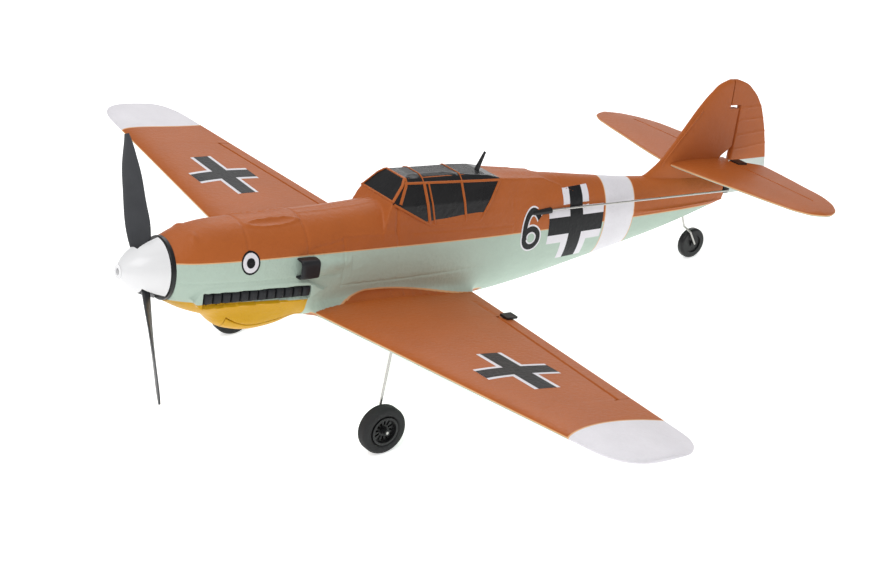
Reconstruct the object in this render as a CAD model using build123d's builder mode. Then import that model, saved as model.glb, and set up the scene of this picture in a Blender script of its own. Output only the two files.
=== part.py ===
from build123d import *
from math import asin, atan2, cos, copysign, degrees, hypot, pi, radians, sin, tan
import os

# Radio-controlled warbird with foam airframe, geared propeller and three wire-legged wheels.
# Everything is drawn in the aircraft's own axes, in millimetres: X to port, Y aft from the
# spinner's tip along the thrust line, Z up. Each finished piece is then stood on its wheels.

# ---- driving dimensions ----
HALF_SPAN = 208.0
DIHEDRAL = 6.6
FOAM_WALL = 3.0
WIRE = 0.5
GAP = 0.25

THRUST_BORE = 1.25
RUNNING = 0.03
SPINNER_BACK = 17.0
TIP_BORE = 1.5
TIP_BORE_DEPTH = 3.0
PROP_RADIUS = 54.4
PROP_STATION = 11.2
BLADE_LEAN = -26.0

SPUR_TEETH = 50
PINION_TEETH = 9
GEAR_MODULE = 0.3
GEAR_CENTRES = GEAR_MODULE * (SPUR_TEETH + PINION_TEETH) / 2
TOOTH_RELIEF = 0.15
GEAR_FRONT = 26.0
GEAR_BACK = 29.0
MOTOR_RADIUS = 5.0
MOTOR_FRONT = 38.0
MOTOR_BACK = 58.0

WING_LEVEL = -20.8
WING_ROOT = 17.4
AILERON_IN = (51.0, 154.6)
AILERON_OUT = (155.5, 130.4)
AILERON_HORN_X = 54.2
AILERON_HORN_DROP = 7.6

TAIL_LEVEL = 28.0
ELEVATOR_HINGE = 323.5
RUDDER_HINGE = 329.5
BALANCE_FRONT = 323.6
BALANCE_BOTTOM = 56.6
BEVEL = 32.0
ROD_LEVEL = 15.5
ROD_END_X = 10.3
ELEVATOR_HORN_ARM = TAIL_LEVEL - ROD_LEVEL

SERVO_SHAFT = (130.0, 1.5)
SERVO_ARM = 8.0
AILERON_SERVO_Y = 175.0
AILERON_ARM = 6.0
AILERON_ARM_LEVEL = -28.1

MAIN_AXLE = (63.3, 92.8, -53.8)
MAIN_TYRE = 10.4
MAIN_WIDTH = 6.1
TAIL_AXLE = (0.0, 316.5, -15.2)
TAIL_TYRE = 7.7
TAIL_WIDTH = 3.8
AXLE_PLAY = 0.05

HATCH_FRONT = 45.2
HATCH_BACK = 82.2
HATCH_HALF = 10.6
BAY_FLOOR = -23.5

# Fuselage frames: station, half width, top, bottom, height of the widest point, squareness.
FRAMES = [
    (19.3, 13.1, 12.8, -13.5, 0.0, 2.0),
    (26.0, 14.7, 15.8, -17.0, -0.5, 2.1),
    (35.0, 15.8, 17.8, -20.3, -1.4, 2.2),
    (48.0, 16.6, 18.7, -23.0, -1.9, 2.25),
    (68.0, 17.0, 19.3, -24.6, -2.4, 2.3),
    (92.0, 17.2, 20.1, -26.3, -2.9, 2.3),
    (116.0, 17.2, 21.8, -27.2, -2.9, 2.3),
    (145.0, 17.0, 26.1, -27.0, -1.9, 2.2),
    (179.0, 16.0, 29.9, -25.9, 0.0, 2.1),
    (208.0, 14.1, 28.6, -21.8, 2.4, 2.0),
    (237.0, 11.8, 25.7, -16.0, 4.8, 2.0),
    (266.0, 9.3, 23.0, -10.0, 7.2, 2.0),
    (295.0, 6.6, 22.0, -3.3, 9.7, 2.0),
    (319.0, 4.3, 21.3, 3.5, 12.6, 2.0),
    (340.0, 1.9, 19.3, 9.9, 15.0, 2.0),
]
HOLLOW_FRAMES = FRAMES[1:13]
CHIN_FRAMES = [
    (36.5, 7.0, -12.0, -19.5, -15.0, 2.2),
    (43.0, 10.2, -12.0, -26.0, -16.0, 2.3),
    (52.0, 12.0, -12.0, -29.3, -17.0, 2.4),
    (66.0, 12.2, -12.0, -29.6, -17.0, 2.4),
    (74.0, 11.6, -12.0, -27.8, -17.0, 2.4),
    (80.0, 10.6, -12.0, -25.0, -17.0, 2.3),
]
FRAME_ANGLES = [90, 72, 54, 36, 18, 0, -18, -36, -54, -72, -90]

# Wing sections: span position, leading edge, trailing edge, thickness.
WING_SECTIONS = [
    (0.0, 85.0, 168.6, 8.4),
    (WING_ROOT, 85.0, 168.6, 8.4),
    (178.0, 87.8, 132.8, 4.6),
    (194.0, 88.6, 130.0, 4.2),
    (201.0, 90.4, 127.4, 3.5),
    (205.6, 94.6, 123.4, 2.4),
    (HALF_SPAN, 101.0, 117.0, 1.2),
]
TAIL_SECTIONS = [
    (0.0, 289.5, 343.0, 4.2),
    (20.0, 293.0, 341.8, 4.0),
    (45.0, 298.6, 338.6, 3.6),
    (62.0, 302.4, 335.6, 3.0),
    (73.0, 306.0, 329.6, 2.4),
    (78.4, 310.6, 324.0, 1.8),
    (80.6, 315.4, 319.4, 1.0),
]
# Fin and rudder sections by height.
FIN_SECTIONS = [
    (8.6, 306.0, 338.0, 5.0),
    (10.5, 300.0, 344.5, 5.4),
    (14.0, 292.0, 352.0, 5.4),
    (20.0, 270.0, 357.2, 5.0),
    (24.0, 276.5, 357.3, 4.8),
    (30.0, 284.0, 356.0, 4.6),
    (37.0, 289.6, 353.9, 4.3),
    (48.0, 297.4, 349.7, 3.9),
    (57.0, 304.0, 344.8, 3.4),
    (63.5, 310.0, 338.5, 2.8),
    (68.0, 316.0, 331.0, 2.2),
    (69.6, 320.5, 325.5, 1.2),
]
# Blade sections: radius, chord, thickness, pitch angle.
BLADE_SECTIONS = [
    (3.5, 6.0, 3.0, 46),
    (9.0, 8.6, 2.4, 43),
    (20.0, 11.4, 1.8, 34),
    (34.0, 10.6, 1.4, 25),
    (46.0, 7.6, 1.1, 19),
    (PROP_RADIUS, 2.8, 0.8, 16),
]

# ---- standing attitude: all three wheels on the ground ----
axle_run = TAIL_AXLE[1] - MAIN_AXLE[1]
axle_rise = TAIL_AXLE[2] - MAIN_AXLE[2]
tyre_step = asin((MAIN_TYRE - TAIL_TYRE) / hypot(axle_run, axle_rise))
NOSE_UP = degrees(atan2(axle_rise, axle_run) + tyre_step)
wheel_drop = MAIN_AXLE[1] * sin(radians(NOSE_UP)) - MAIN_AXLE[2] * cos(radians(NOSE_UP))
MIDDLE_Y = 177.6
STANCE = Location((0, -MIDDLE_Y, wheel_drop + MAIN_TYRE), (-NOSE_UP, 0, 0))


def write(piece, label):
    """Stand a finished piece on its wheels, label it and write its STEP file."""
    standing = piece.part.moved(STANCE)
    standing.label = label
    export_step(standing, f"parts/{label}.step")


def block(x, y, z, mode=Mode.ADD):
    """Add a box given by its limits across, along and up."""
    with Locations(((x[0] + x[1]) / 2, (y[0] + y[1]) / 2, (z[0] + z[1]) / 2)):
        Box(x[1] - x[0], y[1] - y[0], z[1] - z[0], mode=mode)


def bar(start, end, radius, mode=Mode.ADD):
    """Add a round bar between two points."""
    run = Vector(*end) - Vector(*start)
    middle = (Vector(*end) + Vector(*start)) * 0.5
    with Locations(Plane(origin=middle, z_dir=run).location):
        Cylinder(radius, run.length, mode=mode)


def bar_aft(front, back, radius, level=0.0, mode=Mode.ADD):
    """Add a round bar parallel to the thrust line."""
    bar((0, front, level), (0, back, level), radius, mode)


def draw_half_frame(frame, inset=0.0):
    """Draw the port half of a fuselage frame, closed along the plane of symmetry."""
    _, half_width, top, bottom, middle, squareness = frame
    points = []
    for angle in FRAME_ANGLES:
        reach = (top - middle if angle > 0 else middle - bottom) - inset
        across = (half_width - inset) * max(cos(radians(angle)), 0.0) ** (2 / squareness)
        rise = abs(sin(radians(angle))) ** (2 / squareness)
        points.append((across, middle + copysign(reach * rise, angle)))
    points[0] = (0.0, points[0][1])
    points[-1] = (0.0, points[-1][1])
    Spline(*points, tangents=((1, 0), (-1, 0)))
    Line(points[-1], points[0])


def foil_half(place, thickness):
    """Half thickness of a smooth symmetrical section at a share of its chord."""
    curve = 0.2969 * place**0.5 - 0.126 * place - 0.3516 * place**2
    curve += 0.2843 * place**3 - 0.1036 * place**4
    return 5 * thickness * curve + 0.35 * place


def draw_foil(lead, trail, level, thickness):
    """Draw a wing or tail section with a blunt trailing edge."""
    places = [1.0, 0.8, 0.6, 0.42, 0.27, 0.15, 0.06, 0.015]
    upper = []
    lower = []
    for place in places:
        half = foil_half(place, thickness)
        upper.append((lead + (trail - lead) * place, level + half))
        lower.append((lead + (trail - lead) * place, level - half))
    Spline(*upper, (lead, level), *reversed(lower))
    Line(lower[0], upper[0])


def wing_level(span):
    """Height of the wing's middle surface at a distance from the centre line."""
    return WING_LEVEL + max(span - WING_ROOT, 0.0) * tan(radians(DIHEDRAL))


def draw_wedge(apex, level, far, height):
    """Draw the bevelled side view of a control surface behind its hinge."""
    slope = height * tan(radians(BEVEL))
    points = [(apex, level), (apex + slope, level + height), (far, level + height)]
    points += [(far, level - height), (apex + slope, level - height), (apex, level)]
    Polyline(*points)


def draw_gear(teeth, module):
    """Draw a toothed disc with its teeth relieved so that the pair runs clear."""
    pitch = teeth * module / 2
    outer = pitch - TOOTH_RELIEF / 2
    inner = pitch - 1.4 * module
    points = []
    for step in range(teeth * 4):
        radius = outer if step % 4 in (1, 2) else inner
        angle = 2 * pi * (step + 0.5) / (teeth * 4)
        points.append((radius * cos(angle), radius * sin(angle)))
    Polyline(*points, close=True)


os.makedirs("parts", exist_ok=True)

# ---- propulsion ----
with BuildPart() as blade:
    for radius, chord, thickness, pitch in BLADE_SECTIONS:
        chord_line = (cos(radians(pitch)), sin(radians(pitch)), 0)
        with BuildSketch(Plane((0, PROP_STATION, radius), chord_line, (0, 0, 1))):
            Ellipse(chord / 2, thickness / 2)
    loft()

with BuildPart() as propeller:
    bar_aft(7.4, 14.0, 4.2)
    add(blade.part.rotate(Axis.Y, BLADE_LEAN))
    add(blade.part.rotate(Axis.Y, BLADE_LEAN + 180))
    bar_aft(8.6, 14.0, THRUST_BORE, mode=Mode.SUBTRACT)
    bar_aft(7.4, 8.6, 0.5, mode=Mode.SUBTRACT)
write(propeller, "propeller")

with BuildPart() as spinner:
    with BuildSketch(Plane.XY):
        with BuildLine():
            Spline((2.2, 0.0), (4.6, 1.9), (8.2, 5.8), (11.1, 11.6), (12.8, SPINNER_BACK))
            Polyline(
                (12.8, SPINNER_BACK), (11.5, SPINNER_BACK), (9.8, 12.0), (6.9, 7.0), (3.6, 4.9),
                (3.6, 7.4), (0.55, 7.4), (0.55, 4.2), (1.2, 4.2), (1.2, TIP_BORE_DEPTH),
                (TIP_BORE, TIP_BORE_DEPTH), (TIP_BORE, 0.0), (2.2, 0.0),
            )
        make_face()
    revolve(axis=Axis.Y)
    with Locations(Location((0, 0, 0), (0, BLADE_LEAN, 0))):
        with Locations((0, 12.5, 0)):
            Box(9.4, 10.2, 30.0, mode=Mode.SUBTRACT)
    bar_aft(0.0, TIP_BORE_DEPTH, 3.0)
    bar_aft(3.0, 7.4, 3.6)
    bar_aft(0.0, TIP_BORE_DEPTH, TIP_BORE, mode=Mode.SUBTRACT)
    bar_aft(TIP_BORE_DEPTH, 4.2, 1.2, mode=Mode.SUBTRACT)
    bar_aft(4.2, 7.4, 0.55, mode=Mode.SUBTRACT)
write(spinner, "spinner")

with BuildPart() as prop_screw:
    bar_aft(3.1, 4.2, 1.1)
    bar_aft(4.2, 12.0, 0.5)
    with BuildSketch(Plane.XZ.offset(-3.1)):
        Rectangle(1.6, 0.35)
        Rectangle(0.35, 1.6)
    extrude(amount=-0.5, mode=Mode.SUBTRACT)
write(prop_screw, "prop_screw")

with BuildPart() as prop_shaft:
    bar_aft(8.6, 36.6, THRUST_BORE)
    bar_aft(8.6, 12.2, 0.5, mode=Mode.SUBTRACT)
write(prop_shaft, "prop_shaft")

with BuildPart() as spur_gear:
    with BuildSketch(Plane.XZ.offset(-GEAR_FRONT)):
        with BuildLine():
            draw_gear(SPUR_TEETH, GEAR_MODULE)
        make_face()
        with PolarLocations(4.3, 5):
            Circle(1.2, mode=Mode.SUBTRACT)
    extrude(amount=GEAR_FRONT - GEAR_BACK)
    bar_aft(GEAR_BACK, GEAR_BACK + 2.5, 2.6)
    bar_aft(GEAR_FRONT, GEAR_BACK + 2.5, THRUST_BORE, mode=Mode.SUBTRACT)
write(spur_gear, "spur_gear")

with BuildPart() as pinion:
    with BuildSketch(Plane((0, GEAR_FRONT - 0.3, -GEAR_CENTRES), (1, 0, 0), (0, -1, 0))):
        with BuildLine():
            draw_gear(PINION_TEETH, GEAR_MODULE)
        make_face()
    extrude(amount=GEAR_FRONT - GEAR_BACK - 0.6)
    bar_aft(25.2, 42.0, 0.5, -GEAR_CENTRES)
write(pinion, "pinion")

with BuildPart() as motor:
    bar_aft(MOTOR_FRONT, MOTOR_BACK, MOTOR_RADIUS, -GEAR_CENTRES)
    bar_aft(MOTOR_BACK, MOTOR_BACK + 1.2, 4.0, -GEAR_CENTRES)
    bar_aft(MOTOR_FRONT, MOTOR_FRONT + 5.0, 0.5 + AXLE_PLAY, -GEAR_CENTRES, Mode.SUBTRACT)
    with Locations((-2.0, MOTOR_BACK + 2.0, -GEAR_CENTRES), (2.0, MOTOR_BACK + 2.0, -GEAR_CENTRES)):
        Box(1.0, 2.4, 1.6)
write(motor, "motor")

FRAME_TUBE = 9.6
MOTOR_HOLDER = 6.2
with BuildPart() as gearbox_frame:
    bar_aft(19.5, 36.0, FRAME_TUBE)
    bar_aft(24.5, 44.0, MOTOR_HOLDER, -GEAR_CENTRES)
    bar_aft(21.5, 33.5, 8.2, mode=Mode.SUBTRACT)
    bar_aft(24.9, MOTOR_FRONT, 2.2, -GEAR_CENTRES, Mode.SUBTRACT)
    bar_aft(MOTOR_FRONT, 44.0, MOTOR_RADIUS, -GEAR_CENTRES, Mode.SUBTRACT)
    block((-20, 20), (23.0, 32.0), (-4.5, 5.0), Mode.SUBTRACT)
    bar_aft(19.5, 36.0, 2.5, mode=Mode.SUBTRACT)
write(gearbox_frame, "gearbox_frame")

with BuildPart() as shaft_bearings:
    bar_aft(19.5, 21.5, 2.5)
    bar_aft(33.5, 36.0, 2.5)
    bar_aft(19.5, 36.0, THRUST_BORE + RUNNING, mode=Mode.SUBTRACT)
write(shaft_bearings, "shaft_bearings")

with BuildPart() as nose_ring:
    bar_aft(17.4, 19.3, 13.1)
    bar_aft(17.4, 19.3, 4.2, mode=Mode.SUBTRACT)
    front_rims = nose_ring.edges().filter_by(GeomType.CIRCLE).group_by(Axis.Y)[0]
    chamfer(front_rims.sort_by(SortBy.RADIUS)[-1], 0.4)
write(nose_ring, "nose_ring")

# ---- wing ----
with BuildPart() as wing_blank:
    for span, lead, trail, thickness in WING_SECTIONS:
        with BuildSketch(Plane.YZ.offset(span)):
            with BuildLine():
                draw_foil(lead, trail, wing_level(span), thickness)
            make_face()
    loft(ruled=True)

hinge_in = Vector(AILERON_IN[0], AILERON_IN[1], wing_level(AILERON_IN[0]))
hinge_out = Vector(AILERON_OUT[0], AILERON_OUT[1], wing_level(AILERON_OUT[0]))
hinge_run = hinge_out - hinge_in
hinge_plane = Plane(hinge_in, x_dir=(-hinge_run.Y, hinge_run.X, 0), z_dir=hinge_run)

with BuildPart() as aileron_pocket:
    with BuildSketch(hinge_plane.offset(-0.5)):
        with Locations((-GAP, 0)):
            Rectangle(40, 12, align=(Align.MIN, Align.CENTER))
    extrude(amount=hinge_run.length + 1.0)

spar_end_x = 120.0
spar_y = 112.0
with BuildPart() as wing_spar:
    with BuildLine() as spar_path:
        tip_up = wing_level(spar_end_x)
        FilletPolyline(
            (-spar_end_x, spar_y, tip_up), (-WING_ROOT, spar_y, WING_LEVEL),
            (WING_ROOT, spar_y, WING_LEVEL), (spar_end_x, spar_y, tip_up), radius=20,
        )
    with BuildSketch(Plane((-spar_end_x, spar_y, tip_up), z_dir=spar_path.line % 0)):
        Circle(1.25)
    sweep()
write(wing_spar, "wing_spar")

with BuildPart() as gear_socket:
    block((56.4, 62.4), (92.0, 100.0), (wing_level(59.4) - 2.6, wing_level(59.4) + 1.6))

LEG_X = 59.2
leg_top = (LEG_X, 95.5, wing_level(LEG_X) + 0.6)
leg_foot = (LEG_X, MAIN_AXLE[1], MAIN_AXLE[2])
axle_end = (MAIN_AXLE[0] + MAIN_WIDTH / 2 + 1.3, MAIN_AXLE[1], MAIN_AXLE[2])
with BuildPart() as gear_leg_left:
    with BuildLine() as leg_path:
        FilletPolyline(leg_top, leg_foot, axle_end, radius=0.9)
    with BuildSketch(Plane(leg_top, z_dir=leg_path.line % 0)):
        Circle(0.6)
    sweep()
write(gear_leg_left, "gear_leg_left")

with BuildPart() as gear_leg_right:
    mirror(gear_leg_left.part, about=Plane.YZ)
write(gear_leg_right, "gear_leg_right")

with BuildPart() as gear_sockets:
    add(gear_socket.part - gear_leg_left.part)
    mirror(about=Plane.YZ)
write(gear_sockets, "gear_sockets")

horn_y = AILERON_IN[1] + (AILERON_IN[0] - AILERON_HORN_X) * -hinge_run.Y / hinge_run.X
horn_z = wing_level(AILERON_HORN_X)
with BuildPart() as aileron_horn_left:
    with BuildSketch(Plane.YZ.offset(AILERON_HORN_X - 0.5)):
        with BuildLine():
            Polyline(
                (horn_y + 1.6, horn_z + 2.0), (horn_y + 6.6, horn_z + 2.0),
                (horn_y + 6.6, horn_z - 2.0), (horn_y + 1.3, horn_z - AILERON_HORN_DROP - 1.4),
                (horn_y - 1.3, horn_z - AILERON_HORN_DROP - 1.4),
                (horn_y - 1.3, horn_z - AILERON_HORN_DROP + 0.9),
                (horn_y + 1.6, horn_z - 2.0), close=True,
            )
        make_face()
        with Locations((horn_y, horn_z - AILERON_HORN_DROP)):
            Circle(0.55, mode=Mode.SUBTRACT)
    extrude(amount=1.0)
    plate_x = (AILERON_HORN_X - 2.5, AILERON_HORN_X + 2.5)
    block(plate_x, (horn_y + 1.6, horn_y + 7.4), (horn_z + 1.2, horn_z + 2.2))
write(aileron_horn_left, "aileron_horn_left")

with BuildPart() as aileron_left:
    with BuildSketch(hinge_plane):
        with BuildLine():
            draw_wedge(GAP, 0.0, 39.0, 6.0)
        make_face()
    extrude(amount=hinge_run.length)
    add(wing_blank.part, mode=Mode.INTERSECT)
    add(aileron_horn_left.part, mode=Mode.SUBTRACT)
write(aileron_left, "aileron_left")

with BuildPart() as wing_left:
    add(wing_blank.part)
    add(aileron_pocket.part, mode=Mode.SUBTRACT)
    add(wing_spar.part, mode=Mode.SUBTRACT)
    add(gear_socket.part, mode=Mode.SUBTRACT)
    add(gear_leg_left.part, mode=Mode.SUBTRACT)
write(wing_left, "wing_left")

for port_piece, label in (
    (wing_left, "wing_right"),
    (aileron_left, "aileron_right"),
    (aileron_horn_left, "aileron_horn_right"),
):
    with BuildPart() as starboard_piece:
        mirror(port_piece.part, about=Plane.YZ)
    write(starboard_piece, label)

# ---- aileron drive in the belly ----
with BuildPart() as aileron_servo:
    block((-4.2, 4.2), (AILERON_SERVO_Y - 5, AILERON_SERVO_Y + 12), (-22.6, -9.0))
    block((-4.2, 4.2), (AILERON_SERVO_Y - 8, AILERON_SERVO_Y + 15), (-13.6, -12.4))
    bar((0, AILERON_SERVO_Y, -22.6), (0, AILERON_SERVO_Y, -27.4), 1.8)
write(aileron_servo, "aileron_servo")

with BuildPart() as aileron_servo_arm:
    with BuildSketch(Plane.XY.offset(AILERON_ARM_LEVEL - 0.5)):
        with Locations((0, AILERON_SERVO_Y)):
            SlotCenterToCenter(2 * AILERON_ARM, 3.0)
            Circle(2.2)
        with Locations((-AILERON_ARM, AILERON_SERVO_Y), (AILERON_ARM, AILERON_SERVO_Y)):
            Circle(0.55, mode=Mode.SUBTRACT)
    extrude(amount=1.0)
write(aileron_servo_arm, "aileron_servo_arm")

rod_inner = (AILERON_ARM + 0.4, AILERON_SERVO_Y, AILERON_ARM_LEVEL - 1.3)
rod_outer = (AILERON_HORN_X - 1.3, horn_y, horn_z - AILERON_HORN_DROP)
with BuildPart() as aileron_pushrod_left:
    bar(rod_inner, rod_outer, 0.4)
write(aileron_pushrod_left, "aileron_pushrod_left")

with BuildPart() as aileron_pushrod_right:
    mirror(aileron_pushrod_left.part, about=Plane.YZ)
write(aileron_pushrod_right, "aileron_pushrod_right")

# ---- tail surfaces ----
with BuildPart() as tail_blank:
    for span, lead, trail, thickness in TAIL_SECTIONS:
        with BuildSketch(Plane.YZ.offset(span)):
            with BuildLine():
                draw_foil(lead, trail, TAIL_LEVEL, thickness)
            make_face()
    loft(ruled=True)

with BuildPart() as fin_blank:
    for height, lead, trail, thickness in FIN_SECTIONS:
        with BuildSketch(Plane((0, 0, height), x_dir=(0, 1, 0), z_dir=(0, 0, 1))):
            with BuildLine():
                draw_foil(lead, trail, 0.0, thickness)
            make_face()
    loft(ruled=True)

ELEVATOR_TIP = 65.5
ELEVATOR_ROOT = 6.0
JOINER_REACH = 15.0
with BuildPart() as elevator_joiner:
    joiner_foot = (-JOINER_REACH, ELEVATOR_HINGE + 7.0, TAIL_LEVEL)
    with BuildLine() as joiner_path:
        FilletPolyline(
            joiner_foot, (-JOINER_REACH, ELEVATOR_HINGE, TAIL_LEVEL),
            (JOINER_REACH, ELEVATOR_HINGE, TAIL_LEVEL),
            (JOINER_REACH, ELEVATOR_HINGE + 7.0, TAIL_LEVEL), radius=1.2,
        )
    with BuildSketch(Plane(joiner_foot, z_dir=joiner_path.line % 0)):
        Circle(0.6)
    sweep()
write(elevator_joiner, "elevator_joiner")

ELEVATOR_HORN_X = 8.9
with BuildPart() as elevator_horn:
    with BuildSketch(Plane.YZ.offset(ELEVATOR_HORN_X - 0.5)):
        with BuildLine():
            Polyline(
                (ELEVATOR_HINGE + 1.8, TAIL_LEVEL + 1.9), (ELEVATOR_HINGE + 7.0, TAIL_LEVEL + 1.9),
                (ELEVATOR_HINGE + 7.0, TAIL_LEVEL - 2.2), (ELEVATOR_HINGE + 1.4, ROD_LEVEL - 1.4),
                (ELEVATOR_HINGE - 1.4, ROD_LEVEL - 1.4), (ELEVATOR_HINGE - 1.4, ROD_LEVEL + 1.4),
                (ELEVATOR_HINGE + 1.8, TAIL_LEVEL - 2.2), close=True,
            )
        make_face()
        with Locations((ELEVATOR_HINGE, ROD_LEVEL)):
            Circle(0.6, mode=Mode.SUBTRACT)
    extrude(amount=1.0)
    plate_y = (ELEVATOR_HINGE + 1.6, ELEVATOR_HINGE + 7.6)
    block((6.6, 12.6), plate_y, (TAIL_LEVEL + 1.3, TAIL_LEVEL + 2.2))
write(elevator_horn, "elevator_horn")

with BuildPart() as elevator_blank:
    with BuildSketch(Plane.YZ.offset(ELEVATOR_ROOT)):
        with BuildLine():
            draw_wedge(ELEVATOR_HINGE + GAP, TAIL_LEVEL, 350.0, 6.0)
        make_face()
    extrude(amount=ELEVATOR_TIP - ELEVATOR_ROOT)
    add(tail_blank.part, mode=Mode.INTERSECT)
    with BuildSketch(Plane.XY.offset(TAIL_LEVEL - 6)):
        with BuildLine():
            Polyline(
                (5.0, 323.0), (6.0, 323.0), (13.0, 344.0), (13.0, 350.0), (5.0, 350.0), close=True,
            )
        make_face()
    extrude(amount=12.0, mode=Mode.SUBTRACT)
    add(elevator_joiner.part, mode=Mode.SUBTRACT)

with BuildPart() as elevator_left:
    add(elevator_blank.part)
    add(elevator_horn.part, mode=Mode.SUBTRACT)
write(elevator_left, "elevator_left")

with BuildPart() as elevator_right:
    mirror(elevator_blank.part, about=Plane.YZ)
write(elevator_right, "elevator_right")

with BuildPart() as tailplane:
    add(tail_blank.part)
    block((-1, ELEVATOR_TIP + 0.5), (ELEVATOR_HINGE - GAP, 350), (20, 36), Mode.SUBTRACT)
    mirror(about=Plane.YZ)
    bar((-20, ELEVATOR_HINGE, TAIL_LEVEL), (20, ELEVATOR_HINGE, TAIL_LEVEL), 0.9, Mode.SUBTRACT)
write(tailplane, "tailplane")

with BuildPart() as rudder_horn:
    with BuildSketch(Plane.XY.offset(ROD_LEVEL - 1.3)):
        with BuildLine():
            Polyline(
                (-0.6, 331.2), (-6.2, 331.2), (-8.4, 328.4), (-11.7, 328.4), (-11.7, 330.6),
                (-7.5, 334.5), (-0.6, 336.5), close=True,
            )
        make_face()
        with Locations((-ROD_END_X, RUDDER_HINGE)):
            Circle(0.6, mode=Mode.SUBTRACT)
    extrude(amount=1.0)
write(rudder_horn, "rudder_horn")

with BuildPart() as rudder:
    with BuildSketch(Plane.XY.offset(7.0)):
        with BuildLine():
            slope = 6.0 * tan(radians(BEVEL))
            Polyline(
                (0, RUDDER_HINGE + GAP), (6, RUDDER_HINGE + GAP + slope), (6, 360), (-6, 360),
                (-6, RUDDER_HINGE + GAP + slope), close=True,
            )
        make_face()
    extrude(amount=80.0)
    block((-6, 6), (BALANCE_FRONT, 342), (BALANCE_BOTTOM, 80))
    add(fin_blank.part, mode=Mode.INTERSECT)
    add(rudder_horn.part, mode=Mode.SUBTRACT)
write(rudder, "rudder")

with BuildPart() as vertical_fin:
    add(fin_blank.part)
    block((-6, 6), (RUDDER_HINGE - GAP, 370), (0, 80), Mode.SUBTRACT)
    block((-6, 6), (BALANCE_FRONT - 0.6, 370), (BALANCE_BOTTOM - 1.6, 80), Mode.SUBTRACT)
    block((-6, 6), (260, 370), (0, 12.5), Mode.SUBTRACT)
    with BuildSketch(Plane.YZ.offset(-6)):
        with BuildLine():
            Polyline(
                (ELEVATOR_HINGE - 3, TAIL_LEVEL + 1.2), (ELEVATOR_HINGE + 1.6, TAIL_LEVEL + 9.0),
                (RUDDER_HINGE, TAIL_LEVEL + 5.0), (RUDDER_HINGE, TAIL_LEVEL + 1.2), close=True,
            )
        make_face()
    extrude(amount=12.0, mode=Mode.SUBTRACT)
    add(tailplane.part, mode=Mode.SUBTRACT)
    bar((-6, ELEVATOR_HINGE, TAIL_LEVEL), (6, ELEVATOR_HINGE, TAIL_LEVEL), 0.9, Mode.SUBTRACT)
write(vertical_fin, "vertical_fin")

# ---- pushrods and their servos ----
rod_start = (9.8, SERVO_SHAFT[0], SERVO_SHAFT[1] + SERVO_ARM)
rod_exit = (12.4, 212.0, 14.6)
elevator_rod_end = (ROD_END_X, ELEVATOR_HINGE + 1.0, ROD_LEVEL)
rudder_rod_end = (ROD_END_X, RUDDER_HINGE + 0.8, ROD_LEVEL + 0.5)

with BuildPart() as elevator_pushrod:
    with BuildLine() as rod_path:
        FilletPolyline(rod_start, rod_exit, elevator_rod_end, radius=60)
    with BuildSketch(Plane(rod_start, z_dir=rod_path.line % 0)):
        Circle(WIRE)
    sweep()
write(elevator_pushrod, "elevator_pushrod")

with BuildPart() as rudder_rod_port:
    with BuildLine() as rod_path:
        FilletPolyline(rod_start, rod_exit, rudder_rod_end, radius=60)
    with BuildSketch(Plane(rod_start, z_dir=rod_path.line % 0)):
        Circle(WIRE)
    sweep()

with BuildPart() as rudder_pushrod:
    mirror(rudder_rod_port.part, about=Plane.YZ)
write(rudder_pushrod, "rudder_pushrod")

rod_run = Vector(*rod_exit) - Vector(*rod_start)
guide_start = tuple(Vector(*rod_start) + rod_run * 0.68)
guide_end = tuple(Vector(*rod_start) + rod_run * 0.965)
channel_start = tuple(Vector(*rod_start) + rod_run * 0.5)
channel_end = tuple(Vector(*rod_exit) + (Vector(*elevator_rod_end) - Vector(*rod_exit)) * 0.15)
with BuildPart() as pushrod_guides:
    bar(guide_start, guide_end, 1.4)
    bar(guide_start, guide_end, 0.85, Mode.SUBTRACT)
    mirror(about=Plane.YZ)
write(pushrod_guides, "pushrod_guides")

SERVO_WIDTH = 6.4
for side, label in ((1, "elevator_servo"), (-1, "rudder_servo")):
    inner = side * 0.9
    outer = side * (0.9 + SERVO_WIDTH)
    sides = (min(inner, outer), max(inner, outer))
    with BuildPart() as servo:
        block(sides, (117.0, 134.5), (-12.0, 5.5))
        block(sides, (114.0, 137.5), (-2.8, -1.6))
        bar((outer, *SERVO_SHAFT), (outer + side * 0.9, *SERVO_SHAFT), 1.3)
    write(servo, label)

for side, label in ((1, "elevator_servo_arm"), (-1, "rudder_servo_arm")):
    start_x = side * 8.2 if side > 0 else -9.0
    with BuildPart() as servo_arm:
        with BuildSketch(Plane.YZ.offset(start_x)):
            with BuildLine():
                y, z = SERVO_SHAFT
                tip = z + SERVO_ARM
                Line((y - 2.2, z), (y - 1.3, tip))
                ThreePointArc((y - 1.3, tip), (y, tip + 1.3), (y + 1.3, tip))
                Line((y + 1.3, tip), (y + 2.2, z))
                ThreePointArc((y + 2.2, z), (y, z - 2.2), (y - 2.2, z))
            make_face()
            with Locations((SERVO_SHAFT[0], SERVO_SHAFT[1] + SERVO_ARM)):
                Circle(0.55, mode=Mode.SUBTRACT)
        extrude(amount=0.8)
    write(servo_arm, label)

with BuildPart() as equipment_tray:
    block((-14.6, 14.6), (86.0, 142.0), (-4.0, -2.8))
    for side in (-1, 1):
        pocket = sorted((side * 0.9, side * (0.9 + SERVO_WIDTH)))
        block(pocket, (117.0, 134.5), (-6, 0), Mode.SUBTRACT)
write(equipment_tray, "equipment_tray")

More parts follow.
